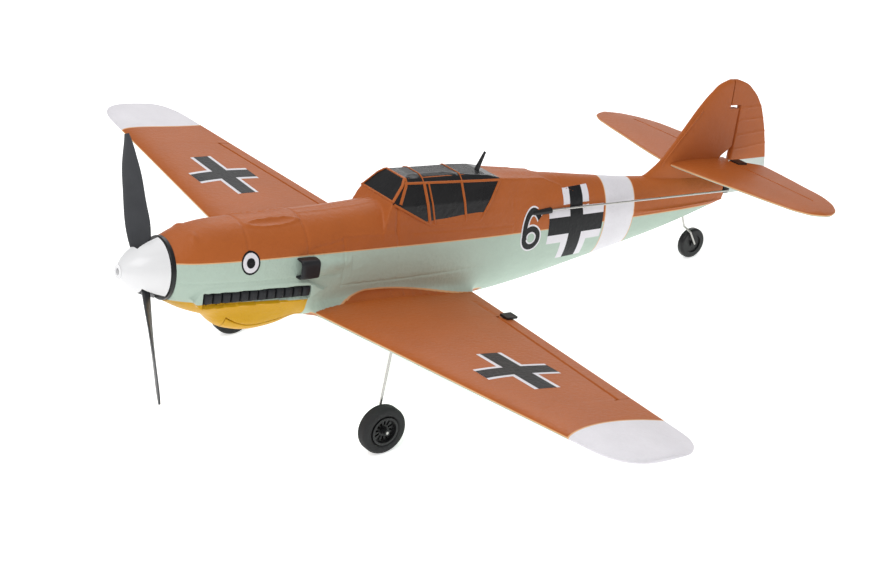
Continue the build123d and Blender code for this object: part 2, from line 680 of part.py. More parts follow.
with BuildPart() as flight_board:
    block((-9.0, 9.0), (88.0, 112.0), (-2.8, -1.8))
    block((-3.5, 3.5), (92.0, 99.0), (-1.8, -0.9))
    block((3.8, 7.8), (104.0, 111.0), (-1.8, 1.2))
    block((-7.8, -3.0), (103.0, 110.0), (-1.8, 0.4))
    with Locations((7.0, 91.0, -1.3), (7.0, 94.0, -1.3), (-7.0, 92.0, -1.3)):
        Cylinder(0.9, 1.0)
write(flight_board, "flight_board")

# ---- battery and its hatch ----
with BuildPart() as battery:
    block((-8.5, 8.5), (46.8, 78.4), (BAY_FLOOR + 0.4, -14.6))
    fillet(battery.edges().filter_by(Axis.Y), 1.2)
write(battery, "battery")

with BuildPart() as hull_half:
    for frame in FRAMES:
        with BuildSketch(Plane.XZ.offset(-frame[0])):
            with BuildLine():
                draw_half_frame(frame)
            make_face()
    loft()

with BuildPart() as chin_half:
    for frame in CHIN_FRAMES:
        with BuildSketch(Plane.XZ.offset(-frame[0])):
            with BuildLine():
                draw_half_frame(frame)
            make_face()
    loft()

with BuildPart() as hollow_half:
    for frame in HOLLOW_FRAMES:
        with BuildSketch(Plane.XZ.offset(-frame[0])):
            with BuildLine():
                draw_half_frame(frame, FOAM_WALL)
            make_face()
    loft()

with BuildPart() as hatch_magnet:
    bar((0, 80.6, BAY_FLOOR - 1.1), (0, 80.6, BAY_FLOOR), 1.5)
write(hatch_magnet, "hatch_magnet")

with BuildPart() as bay_magnet:
    bar((0, 80.6, BAY_FLOOR + 0.3), (0, 80.6, BAY_FLOOR + 1.5), 1.5)
write(bay_magnet, "bay_magnet")

HATCH_PLAY = 0.4
with BuildPart() as battery_hatch:
    add(hull_half.part)
    add(chin_half.part)
    mirror(about=Plane.YZ)
    hatch_x = (-HATCH_HALF, HATCH_HALF)
    block(hatch_x, (HATCH_FRONT + 0.3, HATCH_BACK), (-40, BAY_FLOOR), Mode.INTERSECT)
    add(hatch_magnet.part, mode=Mode.SUBTRACT)
write(battery_hatch, "battery_hatch")

# ---- canopy: a thin glossy inner shell under a painted frame ----
COCKPIT_SILL = 13.6
canopy_side = [
    (119.5, 24.0), (127.6, 33.0), (131.0, 33.8), (150.0, 33.9), (172.0, 32.2),
    (178.0, 30.2), (166.5, COCKPIT_SILL), (139.5, COCKPIT_SILL),
]
canopy_front = [
    (14.7, 10.0), (14.4, 16.0), (12.9, 22.5), (9.6, 30.6), (7.2, 33.0), (4.0, 34.0),
    (0.0, 34.3), (0.0, 10.0),
]

with BuildPart() as canopy_hull:
    with BuildSketch(Plane.YZ.offset(-20)):
        with BuildLine():
            Polyline(*canopy_side, close=True)
        make_face()
    extrude(amount=40)
    with BuildSketch(Plane.XZ.offset(-110)):
        with BuildLine():
            Polyline(*canopy_front, close=True)
        make_face()
        mirror(about=Plane.YZ)
    extrude(amount=-80, mode=Mode.INTERSECT)


def canopy_layer(inset):
    """Return the canopy hull with its roof and sides moved inwards, open at the sill."""
    with BuildPart() as layer:
        with BuildSketch(Plane.YZ.offset(-20)):
            with BuildLine():
                Polyline(*canopy_side, close=True)
            make_face()
            offset(amount=-inset, mode=Mode.REPLACE)
        extrude(amount=40)
        with BuildSketch(Plane.XZ.offset(-110)):
            with BuildLine():
                Polyline(*canopy_front, close=True)
            make_face()
            mirror(about=Plane.YZ)
            offset(amount=-inset, mode=Mode.REPLACE)
        extrude(amount=-80, mode=Mode.INTERSECT)
    return layer.part


FRAME_SKIN = 0.7
PANE_SKIN = 1.0
frame_inner = canopy_layer(FRAME_SKIN)
pane_inner = canopy_layer(FRAME_SKIN + PANE_SKIN)
# Side windows as seen from the side, and the sloping windscreen in front.
side_windows = [
    [(124.8, 24.6), (130.4, 30.6), (140.4, 16.0), (139.6, 16.0)],
    [(133.4, 30.8), (139.8, 30.8), (143.0, 16.0), (142.4, 16.0)],
    [(142.6, 30.6), (156.4, 30.0), (157.0, 16.0), (145.6, 16.0)],
    [(159.4, 29.8), (172.6, 28.8), (165.2, 16.0), (159.8, 16.0)],
]
with BuildPart() as canopy_frame:
    add(canopy_hull.part)
    add(frame_inner, mode=Mode.SUBTRACT)
    for window in side_windows[:1] + side_windows[2:]:
        with BuildSketch(Plane.YZ.offset(-20)):
            with BuildLine():
                Polyline(*window, close=True)
            make_face()
        extrude(amount=40, mode=Mode.SUBTRACT)
    with BuildSketch(Plane.XZ.offset(-110)):
        with Locations((0, 28.2)):
            Rectangle(13.0, 7.0)
    extrude(amount=-15, mode=Mode.SUBTRACT)
write(canopy_frame, "canopy_frame")

with BuildPart() as canopy_panes:
    add(frame_inner)
    add(pane_inner, mode=Mode.SUBTRACT)
write(canopy_panes, "canopy_panes")

MAST_FOOT = (0, 172.0, 32.0)
with BuildPart() as antenna_mast:
    with BuildSketch(Plane(MAST_FOOT, z_dir=(0, 0.42, 1))):
        Ellipse(0.8, 1.5)
    with BuildSketch(Plane((0, 175.4, 40.4), z_dir=(0, 0.42, 1))):
        Ellipse(0.45, 0.7)
    loft()
    add(canopy_hull.part, mode=Mode.SUBTRACT)
write(antenna_mast, "antenna_mast")

# ---- exhausts, air intake ----
EXHAUST_FRONT = (14.2, 30.0)
EXHAUST_BACK = (16.9, 77.0)
EXHAUST_LEVEL = -7.6
STUBS = 12
EXHAUST_LENGTH = 47.0
exhaust_run = Vector(*EXHAUST_BACK) - Vector(*EXHAUST_FRONT)
exhaust_lean = -degrees(atan2(exhaust_run.X, exhaust_run.Y))
exhaust_middle = (Vector(*EXHAUST_BACK) + Vector(*EXHAUST_FRONT)) * 0.5
with BuildPart() as exhaust_left:
    exhaust_place = (exhaust_middle.X, exhaust_middle.Y, EXHAUST_LEVEL)
    with Locations(Location(exhaust_place, (0, 0, exhaust_lean))):
        Box(2.4, EXHAUST_LENGTH, 3.6)
        with GridLocations(1, EXHAUST_LENGTH / STUBS, 1, STUBS):
            with Locations((1.5, 0, 0)):
                Box(2.2, 2.7, 2.4)
write(exhaust_left, "exhaust_left")

with BuildPart() as exhaust_right:
    mirror(exhaust_left.part, about=Plane.YZ)
write(exhaust_right, "exhaust_right")

SCOOP = (17.4, 76.4, 3.3)
with BuildPart() as intake_scoop:
    bar((SCOOP[0], 72.0, SCOOP[2]), (SCOOP[0], 81.0, SCOOP[2]), 4.3)
    bar((SCOOP[0], 72.0, SCOOP[2]), (SCOOP[0], 78.0, SCOOP[2]), 3.3, Mode.SUBTRACT)
    add(hull_half.part, mode=Mode.SUBTRACT)
write(intake_scoop, "intake_scoop")

# ---- fuselage halves ----
with BuildPart() as tail_gear_wire:
    with BuildLine() as strut_path:
        FilletPolyline(
            (0, 304.0, 6.0), (0, 309.5, -6.0), (3.0, 311.6, -8.2), (3.0, TAIL_AXLE[1], TAIL_AXLE[2]),
            (-2.6, TAIL_AXLE[1], TAIL_AXLE[2]), radius=0.8,
        )
    with BuildSketch(Plane((0, 304.0, 6.0), z_dir=strut_path.line % 0)):
        Circle(WIRE)
    sweep()
write(tail_gear_wire, "tail_gear_wire")

with BuildPart() as fuselage_left:
    add(hull_half.part)
    add(chin_half.part)
    add(hollow_half.part, mode=Mode.SUBTRACT)
    block((-1, 30), (RUDDER_HINGE - GAP, 400), (-40, 60), Mode.SUBTRACT)
    bar_aft(19.0, 36.0, FRAME_TUBE, mode=Mode.SUBTRACT)
    bar_aft(24.5, 44.0, MOTOR_HOLDER, -GEAR_CENTRES, Mode.SUBTRACT)
    block((-1, 9.4), (HATCH_FRONT, 79.0), (-40, -13.0), Mode.SUBTRACT)
    opening_x = (-1, HATCH_HALF + HATCH_PLAY)
    opening_y = (HATCH_FRONT, HATCH_BACK + HATCH_PLAY)
    block(opening_x, opening_y, (-40, BAY_FLOOR + 0.3), Mode.SUBTRACT)
    with BuildSketch(Plane.YZ.offset(-1)):
        with BuildLine():
            Polyline(
                (119.5, 24.0), (139.5, COCKPIT_SILL), (166.5, COCKPIT_SILL), (178.0, 30.2),
                (178.0, 50.0), (119.5, 50.0), close=True,
            )
        make_face()
    extrude(amount=30, mode=Mode.SUBTRACT)
    for inner_piece in (
        wing_left, wing_spar, equipment_tray, vertical_fin, tailplane, exhaust_left, bay_magnet,
        tail_gear_wire, aileron_servo,
    ):
        add(inner_piece.part, mode=Mode.SUBTRACT)
    bar(guide_start, guide_end, 1.4, Mode.SUBTRACT)
    bar(channel_start, guide_start, 1.2, Mode.SUBTRACT)
    bar(guide_end, rod_exit, 1.2, Mode.SUBTRACT)
    bar(guide_end, channel_end, 1.2, Mode.SUBTRACT)
    bar((0, AILERON_SERVO_Y, -40), (0, AILERON_SERVO_Y, -20), 2.2, Mode.SUBTRACT)
write(fuselage_left, "fuselage_left")

with BuildPart() as fuselage_right:
    mirror(fuselage_left.part, about=Plane.YZ)
write(fuselage_right, "fuselage_right")

# ---- wheels ----
HUB_RADIUS = 6.2
axle_bore = 0.6 + AXLE_PLAY
for side, name in ((1, "left"), (-1, "right")):
    centre = (side * MAIN_AXLE[0], MAIN_AXLE[1], MAIN_AXLE[2])
    inboard = (centre[0] - MAIN_WIDTH / 2, *centre[1:])
    outboard = (centre[0] + MAIN_WIDTH / 2, *centre[1:])
    with BuildPart() as wheel_hub:
        bar(inboard, outboard, HUB_RADIUS)
        for face_x, inward in ((inboard[0], 1), (outboard[0], -1)):
            bar((face_x, *centre[1:]), (face_x + inward * 1.6, *centre[1:]), 5.2, Mode.SUBTRACT)
            bar((face_x, *centre[1:]), (face_x + inward * 1.6, *centre[1:]), 1.7)
        with BuildSketch(Plane(inboard, x_dir=(0, 1, 0), z_dir=(1, 0, 0))):
            with PolarLocations(3.5, 12):
                SlotOverall(2.4, 0.9)
        extrude(amount=MAIN_WIDTH, mode=Mode.SUBTRACT)
        bar(inboard, outboard, axle_bore, Mode.SUBTRACT)
    write(wheel_hub, f"wheel_hub_{name}")
    with BuildPart() as wheel_tyre:
        with BuildSketch(Plane(centre, x_dir=(1, 0, 0), z_dir=(0, -1, 0))):
            with Locations((0, (HUB_RADIUS + MAIN_TYRE) / 2)):
                RectangleRounded(MAIN_WIDTH, MAIN_TYRE - HUB_RADIUS, 1.7)
        revolve(axis=Axis(centre, (1, 0, 0)))
        bar(inboard, outboard, HUB_RADIUS, Mode.SUBTRACT)
    write(wheel_tyre, f"wheel_tyre_{name}")

with BuildPart() as tail_wheel:
    bar((-TAIL_WIDTH / 2, *TAIL_AXLE[1:]), (TAIL_WIDTH / 2, *TAIL_AXLE[1:]), TAIL_TYRE)
    fillet(tail_wheel.edges().filter_by(GeomType.CIRCLE), 1.2)
    for side in (-1, 1):
        bar((side * 1.2, *TAIL_AXLE[1:]), (side * 2.0, *TAIL_AXLE[1:]), 4.6, Mode.SUBTRACT)
        bar((side * 1.1, *TAIL_AXLE[1:]), (side * TAIL_WIDTH / 2, *TAIL_AXLE[1:]), 1.5)
    bar((-3, *TAIL_AXLE[1:]), (3, *TAIL_AXLE[1:]), WIRE + AXLE_PLAY, Mode.SUBTRACT)
write(tail_wheel, "tail_wheel")

with BuildPart() as wheel_collars:
    collar_x = MAIN_AXLE[0] + MAIN_WIDTH / 2
    bar((collar_x + 0.25, *MAIN_AXLE[1:]), (collar_x + 1.25, *MAIN_AXLE[1:]), 1.3)
    bar((collar_x, *MAIN_AXLE[1:]), (collar_x + 2, *MAIN_AXLE[1:]), 0.6, Mode.SUBTRACT)
    mirror(about=Plane.YZ)
    bar((-2.2, *TAIL_AXLE[1:]), (-3.0, *TAIL_AXLE[1:]), 1.1)
    bar((-3.2, *TAIL_AXLE[1:]), (-2.0, *TAIL_AXLE[1:]), WIRE, Mode.SUBTRACT)
write(wheel_collars, "wheel_collars")
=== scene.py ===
from math import cos, pi, radians, sin, tan

import bmesh
import bpy
import numpy as np
from mathutils import Matrix, Vector


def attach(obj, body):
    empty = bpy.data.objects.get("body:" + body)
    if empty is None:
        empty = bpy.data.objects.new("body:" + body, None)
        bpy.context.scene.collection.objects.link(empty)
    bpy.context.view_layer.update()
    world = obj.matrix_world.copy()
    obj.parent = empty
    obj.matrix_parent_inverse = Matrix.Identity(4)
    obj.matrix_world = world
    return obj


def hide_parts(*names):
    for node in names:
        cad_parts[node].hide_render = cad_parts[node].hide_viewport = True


# A foam radio-controlled warbird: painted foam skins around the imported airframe.
# Shapes are drawn in the aircraft's own axes in millimetres (X to port, Y aft from the spinner's
# tip, Z up) and then stood on the wheels, nose high, in the frame's metres.

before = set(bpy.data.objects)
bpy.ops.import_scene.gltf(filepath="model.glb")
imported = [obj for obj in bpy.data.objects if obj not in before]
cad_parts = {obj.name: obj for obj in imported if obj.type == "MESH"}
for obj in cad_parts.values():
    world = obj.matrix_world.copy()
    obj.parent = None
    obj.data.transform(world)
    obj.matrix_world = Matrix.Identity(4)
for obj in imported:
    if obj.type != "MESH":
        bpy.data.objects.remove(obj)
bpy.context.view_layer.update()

# ---- the aircraft's own axes ----
NOSE_UP = radians(10.4716)
MIDDLE_Y = 177.6
THRUST_HEIGHT = 80.1702
MM = 0.001


def stood(points):
    """Stand points given in the aircraft's axes on the wheels, in metres."""
    points = np.asarray(points, float)
    x, y, z = points[..., 0], points[..., 1], points[..., 2]
    aft = y * cos(NOSE_UP) + z * sin(NOSE_UP) - MIDDLE_Y
    up = -y * sin(NOSE_UP) + z * cos(NOSE_UP) + THRUST_HEIGHT
    return np.stack((x, aft, up), axis=-1) * MM


# ---- airframe lines ----
# Fuselage frames: station, half width, top, bottom, height of the widest point, squareness.
FRAMES = np.array([
    (19.3, 13.1, 12.8, -13.5, 0.0, 2.0),
    (26.0, 14.7, 15.8, -17.0, -0.5, 2.1),
    (35.0, 15.8, 17.8, -20.3, -1.4, 2.2),
    (48.0, 16.6, 18.7, -23.0, -1.9, 2.25),
    (68.0, 17.0, 19.3, -24.6, -2.4, 2.3),
    (92.0, 17.2, 20.1, -26.3, -2.9, 2.3),
    (116.0, 17.2, 21.8, -27.2, -2.9, 2.3),
    (145.0, 17.0, 26.1, -27.0, -1.9, 2.2),
    (179.0, 16.0, 29.9, -25.9, 0.0, 2.1),
    (208.0, 14.1, 28.6, -21.8, 2.4, 2.0),
    (237.0, 11.8, 25.7, -16.0, 4.8, 2.0),
    (266.0, 9.3, 23.0, -10.0, 7.2, 2.0),
    (295.0, 6.6, 22.0, -3.3, 9.7, 2.0),
    (319.0, 4.3, 21.3, 3.5, 12.6, 2.0),
    (340.0, 1.9, 19.3, 9.9, 15.0, 2.0),
])
CHIN_FRAMES = np.array([
    (30.0, 3.0, -12.0, -15.0, -14.0, 2.2),
    (36.5, 7.0, -12.0, -19.5, -15.0, 2.2),
    (43.0, 10.2, -12.0, -26.0, -16.0, 2.3),
    (52.0, 12.0, -12.0, -29.3, -17.0, 2.4),
    (66.0, 12.2, -12.0, -29.6, -17.0, 2.4),
    (74.0, 11.6, -12.0, -27.8, -17.0, 2.4),
    (80.0, 10.6, -12.0, -25.0, -17.0, 2.3),
    (90.0, 7.0, -12.0, -21.0, -16.0, 2.3),
])
# Cockpit roof line by station, and the cockpit's front outline by height.
ROOF = np.array([
    (114.0, 6.0), (117.0, 17.5), (119.5, 24.0), (127.6, 32.8), (131.0, 33.8), (150.0, 33.9),
    (172.0, 32.3), (180.0, 30.6), (206.0, 28.4), (226.0, 20.0), (232.0, 8.0),
])
COCKPIT_OUTLINE = np.array([
    (8.0, 14.9), (16.0, 14.4), (22.5, 12.9), (30.6, 9.6), (33.0, 7.2), (34.0, 4.0), (34.3, 0.0),
])
SILL = 13.6
WING_LEVEL = -20.8
WING_ROOT = 17.4
DIHEDRAL = tan(radians(6.6))
HALF_SPAN = 208.0
WING_LINES = np.array([
    (0.0, 85.0, 168.6, 8.4), (WING_ROOT, 85.0, 168.6, 8.4), (178.0, 87.8, 132.8, 4.6),
    (208.5, 88.4, 126.0, 3.8),
])
AILERON_IN = (51.0, 154.6)
AILERON_OUT = (155.5, 130.4)
GAP = 0.3
TAIL_LEVEL = 28.0
TAIL_HALF_SPAN = 80.6
ELEVATOR_HINGE = 323.5
ELEVATOR_ROOT = 6.4
ELEVATOR_TIP = 65.3
RUDDER_HINGE = 329.5
BALANCE_FRONT = 323.6
BALANCE_BOTTOM = 56.6
TAIL_LINES = np.array([
    (0.0, 289.5, 343.0, 4.2), (20.0, 293.0, 341.8, 4.0), (45.0, 298.6, 338.6, 3.6),
    (62.0, 302.4, 335.6, 3.0), (73.0, 306.0, 329.6, 2.4), (78.4, 310.6, 324.0, 1.8),
    (80.6, 315.4, 319.4, 0.9),
])
FIN_LINES = np.array([
    (8.6, 306.0, 338.0, 5.0), (10.5, 300.0, 344.5, 5.4), (14.0, 292.0, 352.0, 5.4),
    (20.0, 270.0, 357.2, 5.0), (24.0, 276.5, 357.3, 4.8), (30.0, 284.0, 356.0, 4.6),
    (37.0, 289.6, 353.9, 4.3), (48.0, 297.4, 349.7, 3.9), (57.0, 304.0, 344.8, 3.4),
    (63.5, 310.0, 338.5, 2.8), (68.0, 316.0, 331.0, 2.2), (69.6, 320.5, 325.5, 1.2),
])


def smooth_table(table, place):
    """Every column of a table, smoothly interpolated at the places asked for."""
    place = np.asarray(place, float)
    knots, values = table[:, 0], table[:, 1:]
    slopes = np.gradient(values, knots, axis=0)
    index = np.clip(np.searchsorted(knots, place) - 1, 0, len(knots) - 2)
    step = (knots[index + 1] - knots[index])[..., None]
    share = np.clip((place - knots[index]) / step[..., 0], 0, 1)[..., None]
    start = (1 + 2 * share) * (1 - share) ** 2 * values[index]
    start += share * (1 - share) ** 2 * step * slopes[index]
    end = share**2 * (3 - 2 * share) * values[index + 1]
    end += share**2 * (share - 1) * step * slopes[index + 1]
    return np.moveaxis(start + end, -1, 0)


def ease(low, high, value):
    """A smooth step from 0 at low to 1 at high."""
    share = np.clip((value - low) / (high - low), 0, 1)
    return share * share * (3 - 2 * share)


def ridge(distance, width):
    """A soft bump that is 1 on a line and fades away beyond its width."""
    return np.exp(-((distance / width) ** 2))


def line_distance(u, v, start, end):
    """Distance in a plane from points to a straight line between two points."""
    du, dv = end[0] - start[0], end[1] - start[1]
    share = np.clip(((u - start[0]) * du + (v - start[1]) * dv) / (du * du + dv * dv), 0, 1)
    return np.hypot(u - start[0] - share * du, v - start[1] - share * dv)


def smooth_join(first, second, radius):
    """Union of two solids' distances with a fillet of about that radius."""
    near = np.maximum(radius - np.abs(first - second), 0) / radius
    return np.minimum(first, second) - near * near * radius / 4


def foil_half(share, thickness):
    """Half thickness of the foam section at a share of its chord."""
    curve = 0.2969 * np.sqrt(share) - 0.126 * share - 0.3516 * share**2
    curve = curve + 0.2843 * share**3 - 0.1036 * share**4
    return 5 * thickness * curve + 0.35 * share


def wing_level(span):
    return WING_LEVEL + np.maximum(np.abs(span) - WING_ROOT, 0) * DIHEDRAL


def wing_edges(span):
    """Leading edge, trailing edge and thickness at a distance from the centre line."""
    lead, trail, thickness = (np.interp(span, WING_LINES[:, 0], WING_LINES[:, i]) for i in (1, 2, 3))
    tip = np.clip((span - 190.0) / (HALF_SPAN - 190.0), 0, 1)
    pull = 1 - (1 - tip**2.3) ** (1 / 2.3)
    return lead + 13.0 * pull, trail - 12.0 * pull, thickness * (1 - 0.82 * pull)


def hinge_station(span):
    """Station of the aileron hinge line at a distance from the centre line."""
    slope = (AILERON_OUT[1] - AILERON_IN[1]) / (AILERON_OUT[0] - AILERON_IN[0])
    return AILERON_IN[1] + (span - AILERON_IN[0]) * slope


def frame_gap(columns, x, z):
    """Distance outside a squared oval frame, measured from its middle."""
    width, top, bottom, middle, square = columns
    reach = np.where(z > middle, top - middle, middle - bottom)
    size = (np.abs(x) / width) ** square + (np.abs(z - middle) / reach) ** square
    size = np.maximum(size, 1e-6) ** (1 / square)
    return np.hypot(x, z - middle) * (1 - 1 / size)


def wing_gap(x, y, z):
    lead, trail, thickness = wing_edges(np.clip(np.abs(x), 0, HALF_SPAN))
    share = np.clip((y - lead) / (trail - lead), 0, 1)
    off_edge = np.maximum(np.maximum(lead - y, y - trail), 0)
    above = np.abs(z - wing_level(x)) - foil_half(share, thickness)
    return np.where(off_edge > 0, np.hypot(off_edge, np.maximum(above, 0)), above)


def cockpit_gap(x, y, z):
    roof = np.interp(y, ROOF[:, 0], ROOF[:, 1])
    half = np.interp(z, COCKPIT_OUTLINE[:, 0], COCKPIT_OUTLINE[:, 1])
    slim = 1 - 0.4 * ease(172.0, 216.0, y)
    return np.maximum(np.maximum(np.abs(x) - half * slim, z - roof), 8.0 - z)


EXHAUST_MIDDLE = -9.4


def exhaust_fairing(x, y, z):
    """Raised foam surround of the exhaust stubs."""
    half_height = 4.3 * ease(26.0, 31.0, y) * (1 - ease(77.0, 88.0, y)) + 0.01
    side = 14.3 + 2.6 * np.clip((y - 30.0) / 47.0, 0, 1.1)
    ends = np.maximum(26.0 - y, y - 88.0)
    return np.maximum(np.maximum(np.abs(x) - side - 1.1, np.abs(z - EXHAUST_MIDDLE) - half_height), ends)


def exhaust_slot(x, y, z):
    side = 14.0 + 2.6 * np.clip((y - 30.0) / 47.0, 0, 1)
    ends = np.maximum(31.0 - y, y - 79.8)
    return np.maximum(np.maximum(side - 0.9 - np.abs(x), np.abs(z - EXHAUST_MIDDLE) - 2.5), ends)


def scoop_fairing(x, y, z):
    """Foam bulge that fairs the port air intake into the fuselage side."""
    taper = np.clip((100.0 - y) / 18.0, 0, 1)
    height = 4.1 * taper**0.6 + 0.01
    depth = 4.0 * taper + 0.01
    size = np.sqrt((np.abs(x - 16.8) / depth) ** 2 + ((z - 0.8) / height) ** 2)
    gap = (size - 1) * np.minimum(height, depth)
    return np.where((y > 81.0) & (y < 99.5), gap, 9.0)


def skin_gap(x, y, z):
    """Distance outside the whole fuselage skin before its panel lines are pressed in."""
    gap = frame_gap(smooth_table(FRAMES, y), x, z)
    chin = frame_gap(smooth_table(CHIN_FRAMES, y), x, z)
    chin = np.where((y > 30.0) & (y < 90.0), chin, 9.0)
    gap = smooth_join(gap, chin, 2.5)
    gap = smooth_join(gap, cockpit_gap(x, y, z), 1.6)
    gap = smooth_join(gap, exhaust_fairing(x, y, z), 1.2)
    gap = smooth_join(gap, scoop_fairing(x, y, z), 1.5)
    gap = smooth_join(gap, wing_gap(x, y, z), 6.5)
    return np.maximum(gap, -exhaust_slot(x, y, z))


def pressed_lines(x, y, z):
    """Height of the panel lines, vents and bulges pressed into the foam."""
    side = np.abs(x)
    upper = ease(-1.0, 3.0, z)
    press = -0.34 * ridge(y - 50.5, 0.55) * ease(8.0, 10.0, z)
    press -= 0.36 * ridge(y - 78.2, 0.55) * ease(4.5, 6.5, z)
    press -= 0.75 * ridge(y - 122.3, 0.6) * ease(10.6, 11.6, z)
    for start, end in (
        ((95.7, 11.6), (95.7, -9.1)), ((95.7, -9.1), (123.6, -9.1)), ((122.8, 10.6), (123.6, -9.1)),
        ((123.6, -9.2), (172.0, -8.1)), ((186.0, 24.0), (188.6, -16.6)), ((20.5, -2.2), (94.0, -3.8)),
        ((217.3, 40.0), (217.6, 21.0)), ((270.0, 21.0), (274.0, 17.0)), ((130.0, 11.2), (186.0, 10.0)),
    ):
        press -= 0.24 * ridge(line_distance(y, z, start, end), 0.42)
    press += 0.3 * ridge(line_distance(y, z, (95.9, 12.3), (121.0, 11.3)), 0.55)
    press -= 0.3 * ridge(line_distance(y, z, (80.0, 8.2), (95.7, 10.4)), 0.5)
    # The shallow channel that each tail pushrod lies in where it leaves the fuselage.
    press -= 0.4 * ridge(line_distance(y, z, (200.0, 13.9), (236.0, 14.8)), 2.6)
    # Two gun troughs with raised lips, and two rounded vents ahead of them.
    trough = np.hypot((side - 6.3) / 2.3, (y - 64.5) / 11.5)
    press += upper * (0.55 * ridge(trough - 1, 0.16) - 0.6 * ridge(trough, 0.55))
    press += upper * 0.7 * ridge(np.hypot((side - 6.8) / 2.4, (y - 28.2) / 1.5), 1.0)
    press += upper * 0.3 * ridge(line_distance(side, y, (2.2, 80.0), (2.2, 118.0)), 0.5)
    return press


# ---- mesh building ----
def sheet_faces(rows, columns, closed):
    """Quads between neighbouring points of a grid, closed round its rows if asked."""
    faces = []
    last = columns if closed else columns - 1
    for row in range(rows - 1):
        for column in range(last):
            beside = (column + 1) % columns
            here, there = row * columns, (row + 1) * columns
            faces.append((here + column, here + beside, there + beside, there + column))
    return faces


def outward(mesh):
    """Turn every face of a mesh outwards."""
    shape = bmesh.new()
    shape.from_mesh(mesh)
    bmesh.ops.recalc_face_normals(shape, faces=shape.faces)
    shape.to_mesh(mesh)
    shape.free()


def piece(name, points, faces, body, material, sharp=40):
    """A named object from points in the aircraft's axes, riding on a body."""
    mesh = bpy.data.meshes.new(name)
    mesh.from_pydata(stood(points).reshape(-1, 3).tolist(), [], faces)
    outward(mesh)
    return finish_piece(name, mesh, body, material, sharp)


def finish_piece(name, mesh, body, material, sharp=40):
    made = bpy.data.objects.new(name, mesh)
    bpy.context.scene.collection.objects.link(made)
    mesh.materials.clear()
    mesh.materials.append(material)
    mesh.polygons.foreach_set("use_smooth", [True] * len(mesh.polygons))
    mesh.set_sharp_from_angle(angle=radians(sharp))
    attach(made, body)
    return made


def loop_stack(name, loops, body, material, sharp=40):
    """A closed skin through a stack of equal loops, capped at both ends."""
    rows, columns = loops.shape[:2]
    faces = sheet_faces(rows, columns, True)
    faces.append(tuple(range(columns)))
    faces.append(tuple(range((rows - 1) * columns, rows * columns)))
    return piece(name, loops, faces, body, material, sharp)


def trim_strip(name, path, normals, width, height, body, material):
    """A narrow rounded bar laid along a path on a surface."""
    path, normals = np.asarray(path, float), np.asarray(normals, float)
    along = np.gradient(path, axis=0)
    along /= np.linalg.norm(along, axis=1)[:, None]
    normals = normals / np.linalg.norm(normals, axis=1)[:, None]
    across = np.cross(along, normals)
    profile = [(-0.5, -0.35), (-0.5, 0.5), (-0.3, 0.95), (0.0, 1.0), (0.3, 0.95), (0.5, 0.5), (0.5, -0.35)]
    loops = np.stack(
        [path + across * (u * width) + normals * (v * height) for u, v in profile], axis=1
    )
    return loop_stack(name, loops, body, material, 50)


# ---- shader groups ----
def new_group(name, inputs, outputs):
    """A shader node group with named sockets, and its input and output nodes."""
    group = bpy.data.node_groups.new(name, "ShaderNodeTree")
    for label, kind, value in inputs:
        socket = group.interface.new_socket(label, in_out="INPUT", socket_type=kind)
        socket.default_value = value
    for label, kind in outputs:
        group.interface.new_socket(label, in_out="OUTPUT", socket_type=kind)
    return group, group.nodes.new("NodeGroupInput"), group.nodes.new("NodeGroupOutput")


def node(tree, kind, settings=(), **values):
    """A node with its settings and the values or links of its named inputs."""
    made = tree.nodes.new(kind)
    for key, value in settings:
        setattr(made, key, value)
    for key, value in values.items():
        place = int(key[1:]) if key[0] == "n" and key[1:].isdigit() else key.replace("_", " ")
        socket = made.inputs[place]
        if isinstance(value, bpy.types.NodeSocket):
            tree.links.new(value, socket)
        else:
            socket.default_value = value
    return made


def math_node(tree, operation, *values):
    settings = [("operation", operation)]
    made = node(tree, "ShaderNodeMath", settings, **{f"n{i}": v for i, v in enumerate(values)})
    return made.outputs[0]


def mix_colour(tree, share, first, second):
    made = node(tree, "ShaderNodeMix", [("data_type", "RGBA")], n0=share, n6=first, n7=second)
    return made.outputs[2]


def soft_step(tree, value, low, high):
    made = node(
        tree, "ShaderNodeMapRange", [("interpolation_type", "SMOOTHSTEP")],
        Value=value, From_Min=low, From_Max=high,
    )
    return made.outputs[0]


def aircraft_place_group():
    """Position in the aircraft's own axes, in millimetres."""
    outputs = [(label, "NodeSocketFloat") for label in ("Across", "Aft", "Up", "Out")]
    outputs.append(("Place", "NodeSocketVector"))
    group, _, out = new_group("aircraft_place", [], outputs)
    turn = Matrix.Rotation(NOSE_UP, 3, "X")
    shift = turn @ Vector((0.0, MIDDLE_Y, -THRUST_HEIGHT))
    coordinate = group.nodes.new("ShaderNodeTexCoord").outputs["Object"]
    mapped = node(
        group, "ShaderNodeMapping", Vector=coordinate, Location=shift,
        Rotation=(NOSE_UP, 0.0, 0.0), Scale=(1 / MM,) * 3,
    ).outputs[0]
    parts = node(group, "ShaderNodeSeparateXYZ", Vector=mapped)
    for label, source in zip(("Across", "Aft", "Up"), parts.outputs):
        group.links.new(source, out.inputs[label])
    group.links.new(math_node(group, "ABSOLUTE", parts.outputs[0]), out.inputs["Out"])
    group.links.new(mapped, out.inputs["Place"])
    return group


